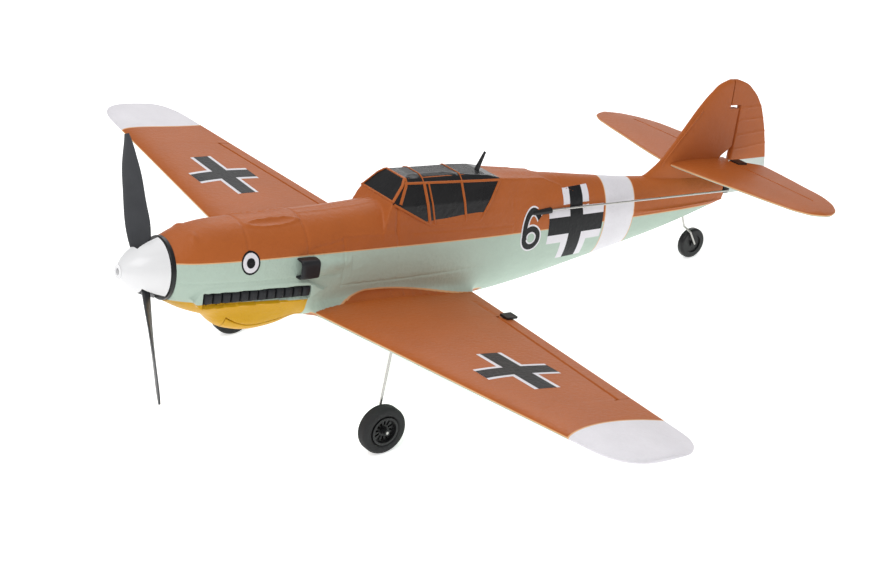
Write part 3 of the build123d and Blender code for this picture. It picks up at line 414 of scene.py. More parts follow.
def foam_skin_group():
    """Painted foam: pebbled grain, faint bead pattern and uneven paint."""
    inputs = [
        ("Paint", "NodeSocketColor", (0.5, 0.2, 0.08, 1)), ("Place", "NodeSocketVector", (0, 0, 0)),
        ("Unevenness", "NodeSocketFloat", 0.12), ("Pebble", "NodeSocketFloat", 1.0),
    ]
    outputs = [
        ("Colour", "NodeSocketColor"), ("Roughness", "NodeSocketFloat"), ("Height", "NodeSocketFloat"),
    ]
    group, come, out = new_group("foam_skin", inputs, outputs)
    place = come.outputs["Place"]
    broad = node(group, "ShaderNodeTexNoise", Vector=place, Scale=0.07, Detail=4.0).outputs[0]
    fine = node(group, "ShaderNodeTexNoise", Vector=place, Scale=0.9, Detail=3.0).outputs[0]
    beads = node(group, "ShaderNodeTexVoronoi", Vector=place, Scale=0.42).outputs[0]
    grain = node(group, "ShaderNodeTexNoise", Vector=place, Scale=2.6, Detail=2.0).outputs[0]
    shade = math_node(group, "MULTIPLY_ADD", broad, 1.5, -0.75)
    shade = math_node(group, "MULTIPLY_ADD", fine, 0.6, math_node(group, "SUBTRACT", shade, 0.3))
    shade = math_node(group, "MULTIPLY", shade, come.outputs["Unevenness"])
    bright = math_node(group, "ADD", shade, 1.0)
    tint = node(
        group, "ShaderNodeHueSaturation", Value=bright, Color=come.outputs["Paint"], Fac=1.0
    ).outputs[0]
    group.links.new(tint, out.inputs["Colour"])
    rough = math_node(group, "MULTIPLY_ADD", fine, 0.22, 0.33)
    group.links.new(rough, out.inputs["Roughness"])
    height = math_node(group, "MULTIPLY_ADD", beads, 0.5, math_node(group, "MULTIPLY", fine, 0.6))
    height = math_node(group, "MULTIPLY_ADD", grain, 0.25, height)
    height = math_node(group, "MULTIPLY", height, come.outputs["Pebble"])
    group.links.new(height, out.inputs["Height"])
    return group


def moulded_group():
    """Moulded plastic or rubber: faint handling marks and a fine matt grain."""
    inputs = [
        ("Colour", "NodeSocketColor", (0.02, 0.02, 0.02, 1)), ("Roughness", "NodeSocketFloat", 0.4),
        ("Grain Scale", "NodeSocketFloat", 1.5), ("Variation", "NodeSocketFloat", 0.15),
    ]
    outputs = [
        ("Colour", "NodeSocketColor"), ("Roughness", "NodeSocketFloat"), ("Height", "NodeSocketFloat"),
    ]
    group, come, out = new_group("moulded_grain", inputs, outputs)
    coordinate = group.nodes.new("ShaderNodeTexCoord").outputs["Object"]
    place = node(group, "ShaderNodeMapping", Vector=coordinate, Scale=(1 / MM,) * 3).outputs[0]
    grain = node(
        group, "ShaderNodeTexNoise", Vector=place, Scale=come.outputs["Grain Scale"], Detail=3.0
    ).outputs[0]
    smear = node(group, "ShaderNodeTexNoise", Vector=place, Scale=0.12, Detail=4.0).outputs[0]
    spread = math_node(group, "MULTIPLY_ADD", smear, 2.0, -1.0)
    spread = math_node(group, "MULTIPLY", spread, come.outputs["Variation"])
    tint = node(
        group, "ShaderNodeHueSaturation", Value=math_node(group, "ADD", spread, 1.0),
        Color=come.outputs["Colour"], Fac=1.0,
    ).outputs[0]
    group.links.new(tint, out.inputs["Colour"])
    rough = math_node(group, "MULTIPLY_ADD", spread, 0.6, come.outputs["Roughness"])
    group.links.new(rough, out.inputs["Roughness"])
    group.links.new(grain, out.inputs["Height"])
    return group


AIRCRAFT_PLACE = aircraft_place_group()
FOAM_SKIN = foam_skin_group()
MOULDED = moulded_group()

BROWN = (0.44, 0.115, 0.024, 1)
EDGE_ORANGE = (0.74, 0.42, 0.20, 1)
PALE_GREEN = (0.46, 0.575, 0.49, 1)
YELLOW = (0.62, 0.33, 0.002, 1)
WHITE = (0.78, 0.76, 0.80, 1)
INK = (0.006, 0.0065, 0.008, 1)


def start_material(name):
    material = bpy.data.materials.new(name)
    material.use_nodes = True
    tree = material.node_tree
    return material, tree, tree.nodes["Principled BSDF"]


def bump(tree, shader, height, strength, distance=0.0004):
    made = node(tree, "ShaderNodeBump", Height=height, Strength=strength, Distance=distance)
    tree.links.new(made.outputs[0], shader.inputs["Normal"])


def group_node(tree, group, **values):
    return node(tree, "ShaderNodeGroup", [("node_tree", group)], **values)


def foam_material(name, paint_over, pebble=1.0, coat=0.06):
    """Painted foam whose colour is laid out by paint_over(tree, place)."""
    material, tree, shader = start_material(name)
    place = group_node(tree, AIRCRAFT_PLACE)
    paint = paint_over(tree, place.outputs)
    skin = group_node(tree, FOAM_SKIN, Paint=paint, Place=place.outputs["Place"], Pebble=pebble)
    tree.links.new(skin.outputs["Colour"], shader.inputs["Base Color"])
    tree.links.new(skin.outputs["Roughness"], shader.inputs["Roughness"])
    bump(tree, shader, skin.outputs["Height"], 0.6)
    shader.inputs["Coat Weight"].default_value = coat
    shader.inputs["Coat Roughness"].default_value = 0.32
    shader.inputs["Specular IOR Level"].default_value = 0.2
    return material


def edge_line(tree, colour, value, edge, line_colour, width):
    """Mix in a thin line of colour where a value crosses an edge."""
    off = math_node(tree, "ABSOLUTE", math_node(tree, "SUBTRACT", value, edge))
    share = soft_step(tree, off, width, width * 0.4)
    return mix_colour(tree, share, colour, line_colour)


PAINT_LINE = 5.9


def fuselage_paint(tree, place):
    """Brown above pale green, with the yellow chin, the white band and the wing root's fillet."""
    aft, up = place["Aft"], place["Up"]
    colour = mix_colour(tree, soft_step(tree, up, PAINT_LINE - 0.12, PAINT_LINE + 0.12), PALE_GREEN, BROWN)
    colour = edge_line(tree, colour, up, PAINT_LINE, EDGE_ORANGE, 0.3)
    # The wing root fillet is brown up to a curve above the wing.
    rise = math_node(tree, "MULTIPLY_ADD", soft_step(tree, aft, 83.0, 110.0), 8.8, -21.2)
    fall = math_node(tree, "MULTIPLY", soft_step(tree, aft, 112.0, 184.0), 9.4)
    fillet_top = math_node(tree, "SUBTRACT", rise, fall)
    below = math_node(tree, "SUBTRACT", fillet_top, up)
    belly = soft_step(tree, up, -25.2, -24.6)
    behind_nose = soft_step(tree, aft, 83.6, 84.0)
    ahead_of_tail = soft_step(tree, aft, 179.0, 176.0)
    along_wing = math_node(tree, "MULTIPLY", behind_nose, ahead_of_tail)
    fillet = math_node(tree, "MULTIPLY", soft_step(tree, below, -0.15, 0.15), belly)
    fillet = math_node(tree, "MULTIPLY", fillet, along_wing)
    colour = mix_colour(tree, fillet, colour, BROWN)
    line = math_node(tree, "ABSOLUTE", below)
    line = math_node(tree, "MULTIPLY", soft_step(tree, line, 0.5, 0.2), along_wing)
    colour = mix_colour(tree, line, colour, EDGE_ORANGE)
    # Yellow lower cowl and chin.
    chin_top = math_node(tree, "MULTIPLY_ADD", aft, -0.034, -10.4)
    low = soft_step(tree, math_node(tree, "SUBTRACT", chin_top, up), -0.1, 0.2)
    slant = math_node(tree, "MULTIPLY_ADD", up, 0.12, aft)
    yellow = math_node(tree, "MULTIPLY", low, soft_step(tree, slant, 79.2, 78.8))
    colour = mix_colour(tree, yellow, colour, YELLOW)
    band_front = soft_step(tree, aft, 244.3, 244.6)
    band = math_node(tree, "MULTIPLY", band_front, soft_step(tree, aft, 263.8, 263.5))
    colour = mix_colour(tree, band, colour, WHITE)
    rim = math_node(tree, "ABSOLUTE", math_node(tree, "SUBTRACT", aft, 254.05))
    return edge_line(tree, colour, rim, 9.7, EDGE_ORANGE, 0.35)


def wing_paint(tree, place):
    """Brown above, pale green below, and a white tip behind a curved edge line."""
    aft, up, out = place["Aft"], place["Up"], place["Out"]
    outboard = math_node(tree, "SUBTRACT", out, WING_ROOT)
    level = math_node(tree, "MULTIPLY_ADD", outboard, DIHEDRAL, WING_LEVEL)
    above = math_node(tree, "SUBTRACT", up, level)
    colour = mix_colour(tree, soft_step(tree, above, -0.25, -0.05), PALE_GREEN, BROWN)
    colour = edge_line(tree, colour, above, 0.1, EDGE_ORANGE, 0.32)
    curve = math_node(tree, "SUBTRACT", aft, 108.0)
    curve = math_node(tree, "MULTIPLY", math_node(tree, "MULTIPLY", curve, curve), 0.006)
    tip = math_node(tree, "SUBTRACT", out, math_node(tree, "ADD", curve, 175.4))
    colour = mix_colour(tree, soft_step(tree, tip, -0.15, 0.15), colour, WHITE)
    return edge_line(tree, colour, tip, -0.3, EDGE_ORANGE, 0.5)


def tail_paint(tree, place):
    """Brown above and pale green below, split along the edge."""
    above = math_node(tree, "SUBTRACT", place["Up"], TAIL_LEVEL)
    colour = mix_colour(tree, soft_step(tree, above, -0.25, -0.05), PALE_GREEN, BROWN)
    return edge_line(tree, colour, above, 0.1, EDGE_ORANGE, 0.35)


def fin_paint(tree, place):
    """Brown, with the foot of the rudder left pale."""
    behind = soft_step(tree, place["Aft"], RUDDER_HINGE - 0.5, RUDDER_HINGE)
    low = math_node(tree, "MULTIPLY", soft_step(tree, place["Up"], 28.2, 27.9), behind)
    return mix_colour(tree, low, BROWN, (0.62, 0.68, 0.64, 1))


def moulded_material(
    name, colour, roughness, grain=1.5, strength=0.15, variation=0.15, metal=0.0, coat=0.0
):
    """Plastic, rubber or metal with a faint grain."""
    material, tree, shader = start_material(name)
    skin = group_node(
        tree, MOULDED, Colour=colour, Roughness=roughness, Grain_Scale=grain, Variation=variation
    )
    tree.links.new(skin.outputs["Colour"], shader.inputs["Base Color"])
    tree.links.new(skin.outputs["Roughness"], shader.inputs["Roughness"])
    bump(tree, shader, skin.outputs["Height"], strength, 0.0002)
    shader.inputs["Metallic"].default_value = metal
    shader.inputs["Coat Weight"].default_value = coat
    shader.inputs["Coat Roughness"].default_value = 0.15
    shader.inputs["Specular IOR Level"].default_value = 0.3
    return material


def flat_paint(colour):
    """A paint layout of one colour."""
    def lay(tree, place):
        return colour
    return lay


fuselage_foam = foam_material("fuselage_foam", fuselage_paint, 1.0)
wing_foam = foam_material("wing_foam", wing_paint, 0.75)
tail_foam = foam_material("tail_foam", tail_paint, 0.75)
fin_foam = foam_material("fin_foam", fin_paint, 0.6)
frame_paint = foam_material("canopy_paint", flat_paint(BROWN), 0.5)
white_mark = foam_material("white_mark", flat_paint(WHITE), 0.5)
black_mark = foam_material("black_mark", flat_paint(INK), 0.8)
canopy_black = moulded_material("canopy_black", (0.008, 0.008, 0.009, 1), 0.3, 0.45, 0.9, 0.3, coat=0.1)
exhaust_black = moulded_material("exhaust_black", (0.014, 0.015, 0.018, 1), 0.42, 1.6, 0.4)
horn_black = moulded_material("horn_black", (0.012, 0.012, 0.013, 1), 0.35)
spinner_white = moulded_material("spinner_white", (0.80, 0.80, 0.81, 1), 0.3, 0.8, 0.05, 0.03, coat=0.3)
blade_grey = moulded_material("blade_grey", (0.045, 0.047, 0.052, 1), 0.42, 0.9, 0.2, 0.25)
wire_steel = moulded_material("wire_steel", (0.50, 0.49, 0.47, 1), 0.28, 2.0, 0.1, 0.1, metal=1.0)
brass_finish = moulded_material("brass_finish", (0.62, 0.44, 0.17, 1), 0.3, 2.0, 0.1, 0.1, metal=1.0)
can_finish = moulded_material("can_finish", (0.55, 0.55, 0.57, 1), 0.3, 2.0, 0.1, 0.1, metal=1.0)
gear_white = moulded_material("gear_white", (0.75, 0.74, 0.68, 1), 0.4)
board_green = moulded_material("board_green", (0.01, 0.10, 0.04, 1), 0.4, 1.2, 0.3, 0.3)
ply_wood = moulded_material("ply_wood", (0.48, 0.31, 0.16, 1), 0.6, 0.5, 0.4, 0.35)
battery_wrap = moulded_material("battery_wrap", (0.03, 0.07, 0.22, 1), 0.3, 0.4, 0.3)
servo_blue = moulded_material("servo_blue", (0.02, 0.03, 0.08, 1), 0.35)
magnet_finish = moulded_material("magnet_finish", (0.6, 0.6, 0.62, 1), 0.25, metal=1.0)
carbon_finish = moulded_material("carbon_finish", (0.02, 0.02, 0.022, 1), 0.35, 1.2, 0.4, 0.4)
hub_plastic = moulded_material("hub_plastic", (0.016, 0.016, 0.017, 1), 0.3, 1.0, 0.15)
tyre_foam = moulded_material("tyre_foam", (0.022, 0.022, 0.023, 1), 0.72, 2.2, 0.7, 0.3)

SLOT_FINISH = {
    "fuselage_foam": fuselage_foam, "wing_foam": wing_foam, "tail_foam": tail_foam,
    "canopy_paint": frame_paint, "canopy_black": canopy_black, "black_plastic": horn_black,
    "propeller_nylon": blade_grey, "spinner_white": spinner_white, "steel_wire": wire_steel,
    "brass": brass_finish, "motor_can": can_finish, "gear_nylon": gear_white,
    "circuit_board": board_green, "ply": ply_wood, "battery_wrap": battery_wrap,
    "servo_case": servo_blue, "magnet": magnet_finish, "carbon": carbon_finish,
    "wheel_plastic": hub_plastic, "tyre_rubber": tyre_foam,
}
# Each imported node's plain colour is named for its slot; the slot's full finish takes its place.
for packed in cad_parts.values():
    slot_name = packed.data.materials[0].name.split(".")[0]
    packed.data.materials.clear()
    packed.data.materials.append(SLOT_FINISH[slot_name])

# ---- fuselage skin with its battery hatch ----
CLIP_X = 21.0
SKIN = 1.8
stations = np.concatenate((np.arange(19.35, 130.0, 0.46), np.arange(130.0, 329.2, 0.85), [329.2]))
angles = np.linspace(0, 2 * pi, 264, endpoint=False) + pi / 264
station_grid = np.repeat(stations[:, None], len(angles), axis=1)
middle_grid = smooth_table(FRAMES, stations)[3][:, None]
sine, cosine = np.sin(angles)[None, :], np.cos(angles)[None, :]


def skin_point(reach):
    return reach * sine, station_grid, middle_grid + reach * cosine


limit = np.minimum(CLIP_X / np.maximum(np.abs(sine), 1e-3), 48.0) * np.ones_like(station_grid)
reach = np.full_like(station_grid, 1.0)
inside = np.ones_like(station_grid, bool)
for _ in range(60):
    further = np.minimum(reach + 0.8, limit)
    still = inside & (skin_gap(*skin_point(further)) < 0)
    reach = np.where(still, further, reach)
    inside = still & (further < limit)
high = np.minimum(reach + 0.8, limit)
for _ in range(7):
    half_way = (reach + high) / 2
    filled = skin_gap(*skin_point(half_way)) < 0
    reach = np.where(filled, half_way, reach)
    high = np.where(filled, high, half_way)
reach = reach + pressed_lines(*skin_point(reach))
skin_loops = np.stack(skin_point(reach), axis=-1)

HATCH = (45.2, 82.2, 10.6)


def cut_window(mesh, front, back, half_width, keep_inside):
    """Cut a rectangular window in the belly of the skin, and keep one part of it."""
    shape = bmesh.new()
    shape.from_mesh(mesh)
    turn = Matrix.Rotation(-NOSE_UP, 3, "X")
    planes = [
        (Vector(stood((0, front, 0))), turn @ Vector((0, -1, 0))),
        (Vector(stood((0, back, 0))), turn @ Vector((0, 1, 0))),
        (Vector(stood((half_width, 0, 0))), Vector((1, 0, 0))),
        (Vector(stood((-half_width, 0, 0))), Vector((-1, 0, 0))),
    ]
    floor = (Vector(stood((0, 0, -12.0))), turn @ Vector((0, 0, 1)))
    margin = 2.0 * MM

    def within(point, room):
        sides = all((point - spot).dot(normal) < room for spot, normal in planes)
        return sides and (point - floor[0]).dot(floor[1]) < 0

    for spot, normal in planes:
        near = [face for face in shape.faces if within(face.calc_center_median(), margin)]
        around = near + list({e for f in near for e in f.edges}) + list({v for f in near for v in f.verts})
        bmesh.ops.bisect_plane(shape, geom=around, plane_co=spot, plane_no=normal, dist=1e-7)
    gone = [f for f in shape.faces if within(f.calc_center_median(), 0) != keep_inside]
    bmesh.ops.delete(shape, geom=gone, context="FACES")
    shape.to_mesh(mesh)
    shape.free()


def thicken(made, thickness):
    """Give a skin its foam thickness inwards, and apply it."""
    shell = made.modifiers.new("foam", "SOLIDIFY")
    shell.thickness = thickness * MM
    shell.offset = -1
    bpy.context.view_layer.objects.active = made
    with bpy.context.temp_override(object=made):
        bpy.ops.object.modifier_apply(modifier=shell.name)


rows, columns = skin_loops.shape[:2]
skin_faces = sheet_faces(rows, columns, True)
skin_faces.append(tuple(range((rows - 1) * columns, rows * columns)))
skin_mesh = bpy.data.meshes.new("fuselage_skin")
skin_mesh.from_pydata(stood(skin_loops).reshape(-1, 3).tolist(), [], skin_faces)
outward(skin_mesh)
hatch_mesh = skin_mesh.copy()
cut_window(skin_mesh, HATCH[0], HATCH[1], HATCH[2], False)
cut_window(hatch_mesh, HATCH[0] + 0.35, HATCH[1] - 0.35, HATCH[2] - 0.35, True)
fuselage_skin = finish_piece("fuselage_skin", skin_mesh, "airframe", fuselage_foam, 60)
thicken(fuselage_skin, SKIN)
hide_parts("fuselage_left", "fuselage_right")
hatch_skin = finish_piece("battery_hatch_skin", hatch_mesh, "hatch", fuselage_foam, 60)
thicken(hatch_skin, 2.4)
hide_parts("battery_hatch")

# ---- wings and ailerons ----
SECTION = 54


def section_loop(span, front, back, edges, level, bevel_front=0.0, bevel_back=0.0):
    """A closed foil section between two stations, cut square or bevelled where it is cut."""
    lead, trail, thickness = edges
    share = (1 - np.cos(np.linspace(0, pi, SECTION))) / 2
    stations_here = front + (back - front) * share
    half = foil_half(np.clip((stations_here - lead) / (trail - lead), 0, 1), thickness)
    half = np.minimum(half, np.abs(stations_here - front) / max(bevel_front, 1e-6) if bevel_front else half)
    half = np.minimum(half, np.abs(back - stations_here) / max(bevel_back, 1e-6) if bevel_back else half)
    upper = np.stack((np.full(SECTION, span), stations_here, level + half), axis=-1)
    lower = np.stack((np.full(SECTION, span), stations_here, level - half), axis=-1)
    return np.concatenate((upper, lower[::-1]))


def wing_press(loop, span):
    """Press the flap line and the panel marks into the wing's upper side."""
    press = np.zeros(len(loop))
    upper = np.arange(len(loop)) < SECTION
    flap = ease(27.0, 29.0, span) * (1 - ease(156.0, 157.5, span))
    press -= 0.55 * flap * ridge(loop[:, 1] - hinge_station(span) + 0.35, 0.5)
    for spot_span, spot_aft in ((118.0, 137.6), (135.0, 118.0), (70.0, 148.6), (78.0, 133.0)):
        press -= 0.3 * ridge(np.hypot(span - spot_span, loop[:, 1] - spot_aft), 0.9)
    loop[:, 2] += np.where(upper, press, 0)
    return loop


def wing_loops():
    spans = list(np.arange(8.0, AILERON_IN[0], 1.0)) + [AILERON_IN[0]]
    loops = []
    for span in spans:
        edges = wing_edges(span)
        loops.append(wing_press(section_loop(span, edges[0], edges[1], edges, wing_level(span)), span))
    cut = list(np.linspace(AILERON_IN[0] + 0.01, AILERON_OUT[0] - 0.01, 90))
    for span in cut:
        edges = wing_edges(span)
        loops.append(
            section_loop(span, edges[0], hinge_station(span) - GAP, edges, wing_level(span), 0, 0.28)
        )
    outer = [AILERON_OUT[0]] + list(np.arange(156.5, 190.0, 1.0))
    outer += list(HALF_SPAN - 18.0 * np.linspace(1, 0.0, 34) ** 2)
    for span in outer:
        edges = wing_edges(span)
        loops.append(wing_press(section_loop(span, edges[0], edges[1], edges, wing_level(span)), span))
    return np.array(loops)


def aileron_loops():
    loops = []
    for span in np.linspace(AILERON_IN[0] + 0.3, AILERON_OUT[0] - 0.3, 90):
        edges = wing_edges(span)
        front = hinge_station(span) + GAP
        loops.append(section_loop(span, front, edges[1], edges, wing_level(span), 0.62))
    return np.array(loops)


def mirrored(points):
    return np.asarray(points) * np.array((-1.0, 1.0, 1.0))


port_wing, port_aileron = wing_loops(), aileron_loops()
for side, flip in (("left", np.asarray), ("right", mirrored)):
    wing = loop_stack(f"wing_{side}_skin", flip(port_wing), "airframe", wing_foam, 42)
    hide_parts(f"wing_{side}")
    aileron = loop_stack(
        f"aileron_{side}_skin", flip(port_aileron), f"aileron_{side}_set", wing_foam, 42
    )
    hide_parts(f"aileron_{side}")

# ---- tailplane and elevators ----


def tail_edges(span):
    return smooth_table(TAIL_LINES, np.clip(np.abs(span), 0, TAIL_HALF_SPAN))


def tail_loops():
    spans = list(TAIL_HALF_SPAN - 16.0 * np.linspace(0, 1, 26) ** 2)
    cut = np.linspace(ELEVATOR_TIP, -ELEVATOR_TIP, 120)
    loops = []
    for span in spans:
        edges = tail_edges(span)
        loops.append(section_loop(span, edges[0], edges[1], edges, TAIL_LEVEL))
    for span in cut:
        edges = tail_edges(span)
        loops.append(section_loop(span, edges[0], ELEVATOR_HINGE - GAP, edges, TAIL_LEVEL))
    for span in spans[::-1]:
        edges = tail_edges(span)
        loops.append(section_loop(-span, edges[0], edges[1], edges, TAIL_LEVEL))
    return np.array(loops)


tailplane = loop_stack("tailplane_skin", tail_loops(), "airframe", tail_foam, 42)
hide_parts("tailplane")


def elevator_loops():
    loops = []
    for span in np.linspace(ELEVATOR_ROOT, ELEVATOR_TIP - 0.5, 60):
        edges = tail_edges(span)
        front = ELEVATOR_HINGE + GAP
        back = edges[1] - 12.0 * (1 - ease(ELEVATOR_ROOT, 14.0, span))
        loops.append(section_loop(span, front, back, edges, TAIL_LEVEL, 0.62))
    return np.array(loops)


port_elevator = elevator_loops()
for side, flip in (("left", np.asarray), ("right", mirrored)):
    elevator = loop_stack(
        f"elevator_{side}_skin", flip(port_elevator), "elevator_set", tail_foam, 42
    )
    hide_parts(f"elevator_{side}")

# ---- fin and rudder ----


def fin_edges(height):
    return smooth_table(FIN_LINES, height)


def upright(loop):
    """Turn a section drawn for a wing into one for the fin, at its height."""
    return np.stack((loop[:, 2], loop[:, 1], loop[:, 0]), axis=-1)


def fin_loops():
    loops = []
    for height in list(np.linspace(12.6, BALANCE_BOTTOM - 1.7, 64)):
        edges = fin_edges(height)
        back = RUDDER_HINGE - GAP
        notch = 7.5 * ease(28.6, 29.4, height) * (1 - ease(29.4, 36.2, height))
        loops.append(upright(section_loop(height, edges[0], back - notch, edges, 0.0)))
    for height in list(np.linspace(BALANCE_BOTTOM - 1.6, 68.6, 26)) + [69.2, 69.5]:
        edges = fin_edges(height)
        back = min(BALANCE_FRONT - 0.6, edges[1])
        loops.append(upright(section_loop(height, edges[0], back, edges, 0.0)))
    return np.array(loops)


def rudder_loops():
    loops = []
    for height in list(np.linspace(10.6, BALANCE_BOTTOM, 90)):
        edges = fin_edges(height)
        loop = upright(section_loop(height, RUDDER_HINGE + GAP, edges[1], edges, 0.0, 0.62))
        press = np.zeros(len(loop))
        for rib, slope in ((33.7, 0.10), (41.0, 0.06), (48.6, 0.03), (54.9, 0.03)):
            off = height - rib - slope * (loop[:, 1] - 333.0)
            press += 0.28 * ridge(off, 0.45) * ease(331.0, 332.5, loop[:, 1])
        loop[:, 0] += np.sign(loop[:, 0]) * press
        loops.append(loop)
    for height in list(np.linspace(BALANCE_BOTTOM + 0.05, 68.6, 26)) + [69.2, 69.5]:
        edges = fin_edges(height)
        front = max(BALANCE_FRONT, edges[0])
        loops.append(upright(section_loop(height, front, max(edges[1], front + 0.5), edges, 0.0)))
    return np.array(loops)


fin = loop_stack("fin_skin", fin_loops(), "airframe", fin_foam, 42)
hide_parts("vertical_fin")
rudder = loop_stack("rudder_skin", rudder_loops(), "rudder_set", fin_foam, 42)
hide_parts("rudder")

for side, sign in (("left", 1.0), ("right", -1.0)):
    share = np.linspace(0, 1, 24)[:, None]
    path = np.array([[0.0, 284.4, 27.5]]) * (1 - share) + np.array([[0.0, 305.0, 54.6]]) * share
    for row in path:
        lead, trail, thickness = fin_edges(row[2])
        row[0] = sign * foil_half(max((row[1] - lead) / (trail - lead), 0.0), thickness)
    trim_strip(
        f"fin_rib_{side}", path, np.tile((sign, 0.0, 0.0), (24, 1)), 1.0, 0.45, "airframe", fin_foam,
    )

# ---- cockpit ----
LOWER_EDGE = np.array([(119.5, 24.0), (139.5, SILL), (166.5, SILL), (178.5, 30.6)])


def outline_half(z):
    return np.interp(z, COCKPIT_OUTLINE[:, 0], COCKPIT_OUTLINE[:, 1])


def roof_height(y):
    return np.interp(y, ROOF[:, 0], ROOF[:, 1])


def cockpit_section(y, lift):
    """The port half of the glazing at a station, from its lower edge to the centre line."""
    low = np.interp(y, LOWER_EDGE[:, 0], LOWER_EDGE[:, 1])
    top = roof_height(y)
    heights = np.linspace(low, max(top, low + 0.02), 40)
    side = np.stack((outline_half(heights) + lift, heights), axis=-1)
    across = np.linspace(1, 0, 14)[1:, None] * np.array([[1.0, 0.0]])
    roof = across * side[-1, 0] + np.array([[0.0, top + lift]])
    return np.concatenate((side, roof))


glazing = []
for y in np.linspace(119.7, 178.3, 140):
    half = cockpit_section(y, 0.14)
    whole = np.concatenate((half, half[-2::-1] * np.array([-1.0, 1.0])))
    glazing.append(np.insert(whole, 1, y, axis=1))
glazing = np.array(glazing)
panes = piece(
    "canopy_glazing", glazing, sheet_faces(*glazing.shape[:2], False), "airframe", canopy_black,
    25,
)
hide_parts("canopy_panes")

POST, RAIL, ROOF_BAR = 1.45, 1.15, 0.55
SIDE_BARS = [
    ("screen_post", (123.8, 23.4), (127.8, 31.6), POST), ("front_sill", (120.4, 23.6), (139.6, SILL), RAIL),
    ("hood_front_post", (139.4, SILL), (137.0, 31.0), POST),
    ("hood_lip", (142.0, SILL), (139.4, 31.0), 0.8),
    ("middle_post", (158.9, SILL), (157.0, 31.0), RAIL), ("sill_rail", (139.4, SILL), (166.6, SILL), RAIL),
    ("rear_post", (166.4, SILL), (178.3, 30.4), RAIL), ("roof_rail", (127.4, 31.4), (178.2, 30.3), RAIL),
]
for side, sign in (("left", 1.0), ("right", -1.0)):
    for label, start, end, width in SIDE_BARS:
        share = np.linspace(0, 1, 40)
        y = start[0] + (end[0] - start[0]) * share
        z = start[1] + (end[1] - start[1]) * share
        slope = (outline_half(z + 0.4) - outline_half(z - 0.4)) / 0.8
        path = np.stack((sign * (outline_half(z) + 0.12), y, z), axis=-1)
        normals = np.stack((np.full(40, sign), np.zeros(40), -slope), axis=-1)
        bar = trim_strip(
            f"canopy_{label}_{side}", path, normals, width, 0.42, "airframe", frame_paint
        )
        if (label, side) == ("screen_post", "left"):
            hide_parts("canopy_frame")
ROOF_BARS = [(128.2, 9.4, 1.2), (137.0, 9.2, ROOF_BAR), (157.4, 9.2, ROOF_BAR)]
for number, (y, half, width) in enumerate(ROOF_BARS):
    x = np.linspace(-half, half, 50)
    z = np.interp(np.abs(x), COCKPIT_OUTLINE[::-1, 1], COCKPIT_OUTLINE[::-1, 0])
    z = np.minimum(z, roof_height(y)) + 0.12
    path = np.stack((x, np.full(50, y), z), axis=-1)
    normals = np.stack((x * 0.05, np.zeros(50), np.ones(50)), axis=-1)
    trim_strip(
        f"canopy_roof_bar_{number}", path, normals, width, 0.35, "airframe", frame_paint
    )
for side, sign in (("left", 1.0), ("right", -1.0)):
    share = np.linspace(0, 1, 24)
    y = 120.0 + 7.9 * share
    x = sign * outline_half(roof_height(y))
    path = np.stack((x, y, roof_height(y) + 0.15), axis=-1)
    normals = np.tile((sign * 0.6, -0.75, 0.65), (24, 1))
    trim_strip(
        f"windscreen_edge_{side}", path, normals, 1.25, 0.4, "airframe", frame_paint
    )
x = np.linspace(-12.6, 12.6, 40)
path = np.stack((x, np.full(40, 120.1), np.full(40, 24.6)), axis=-1)
trim_strip(
    "windscreen_base", path, np.tile((0.0, -0.75, 0.65), (40, 1)), 1.0, 0.45, "airframe", frame_paint,
)


def oval_stack(centre_line, radii, count=20, square=2.0):
    """Loops of squared ovals along a line: (x, y, z) centres and (half width, half height) radii."""
    turns = np.linspace(0, 2 * pi, count, endpoint=False)
    u = np.sign(np.cos(turns)) * np.abs(np.cos(turns)) ** (2 / square)
    v = np.sign(np.sin(turns)) * np.abs(np.sin(turns)) ** (2 / square)
    loops = []
    for (x, y, z), (wide, high) in zip(centre_line, radii):
        loops.append(np.stack((x + wide * u, np.full(count, y), z + high * v), axis=-1))
    return np.array(loops)


# ---- exhaust stubs in their slots, and the port air intake ----
STUBS = 12
for side, sign in (("left", 1.0), ("right", -1.0)):
    for number in range(STUBS):
        y = 33.4 + number * 4.05
        side_x = 14.0 + 2.6 * (y - 30.0) / 47.0
        line = [(sign * (side_x + 0.35 * k), y + s, EXHAUST_MIDDLE) for k, s in (
            (-2.0, -1.8), (0.2, -1.75), (1.7, -1.2), (2.5, 0.2), (2.9, 1.4), (2.7, 1.75),
        )]
        radii = [(0.5, 2.0), (0.85, 2.15), (0.95, 2.2), (0.95, 2.2), (0.8, 2.1), (0.35, 1.7)]
        stub = loop_stack(
            f"exhaust_stub_{side}_{number + 1}", oval_stack(line, radii, 16, 3.2), "airframe",
            exhaust_black,
        )
        if number == 0:
            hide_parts(f"exhaust_{side}")
    y = np.linspace(31.2, 79.6, 60)
    line = [(sign * (13.7 + 2.6 * (s - 30.0) / 47.0), s, EXHAUST_MIDDLE) for s in y]
    loop_stack(
        f"exhaust_bed_{side}", oval_stack(line, [(0.5, 2.7)] * 60, 16, 5.0), "airframe", exhaust_black,
    )

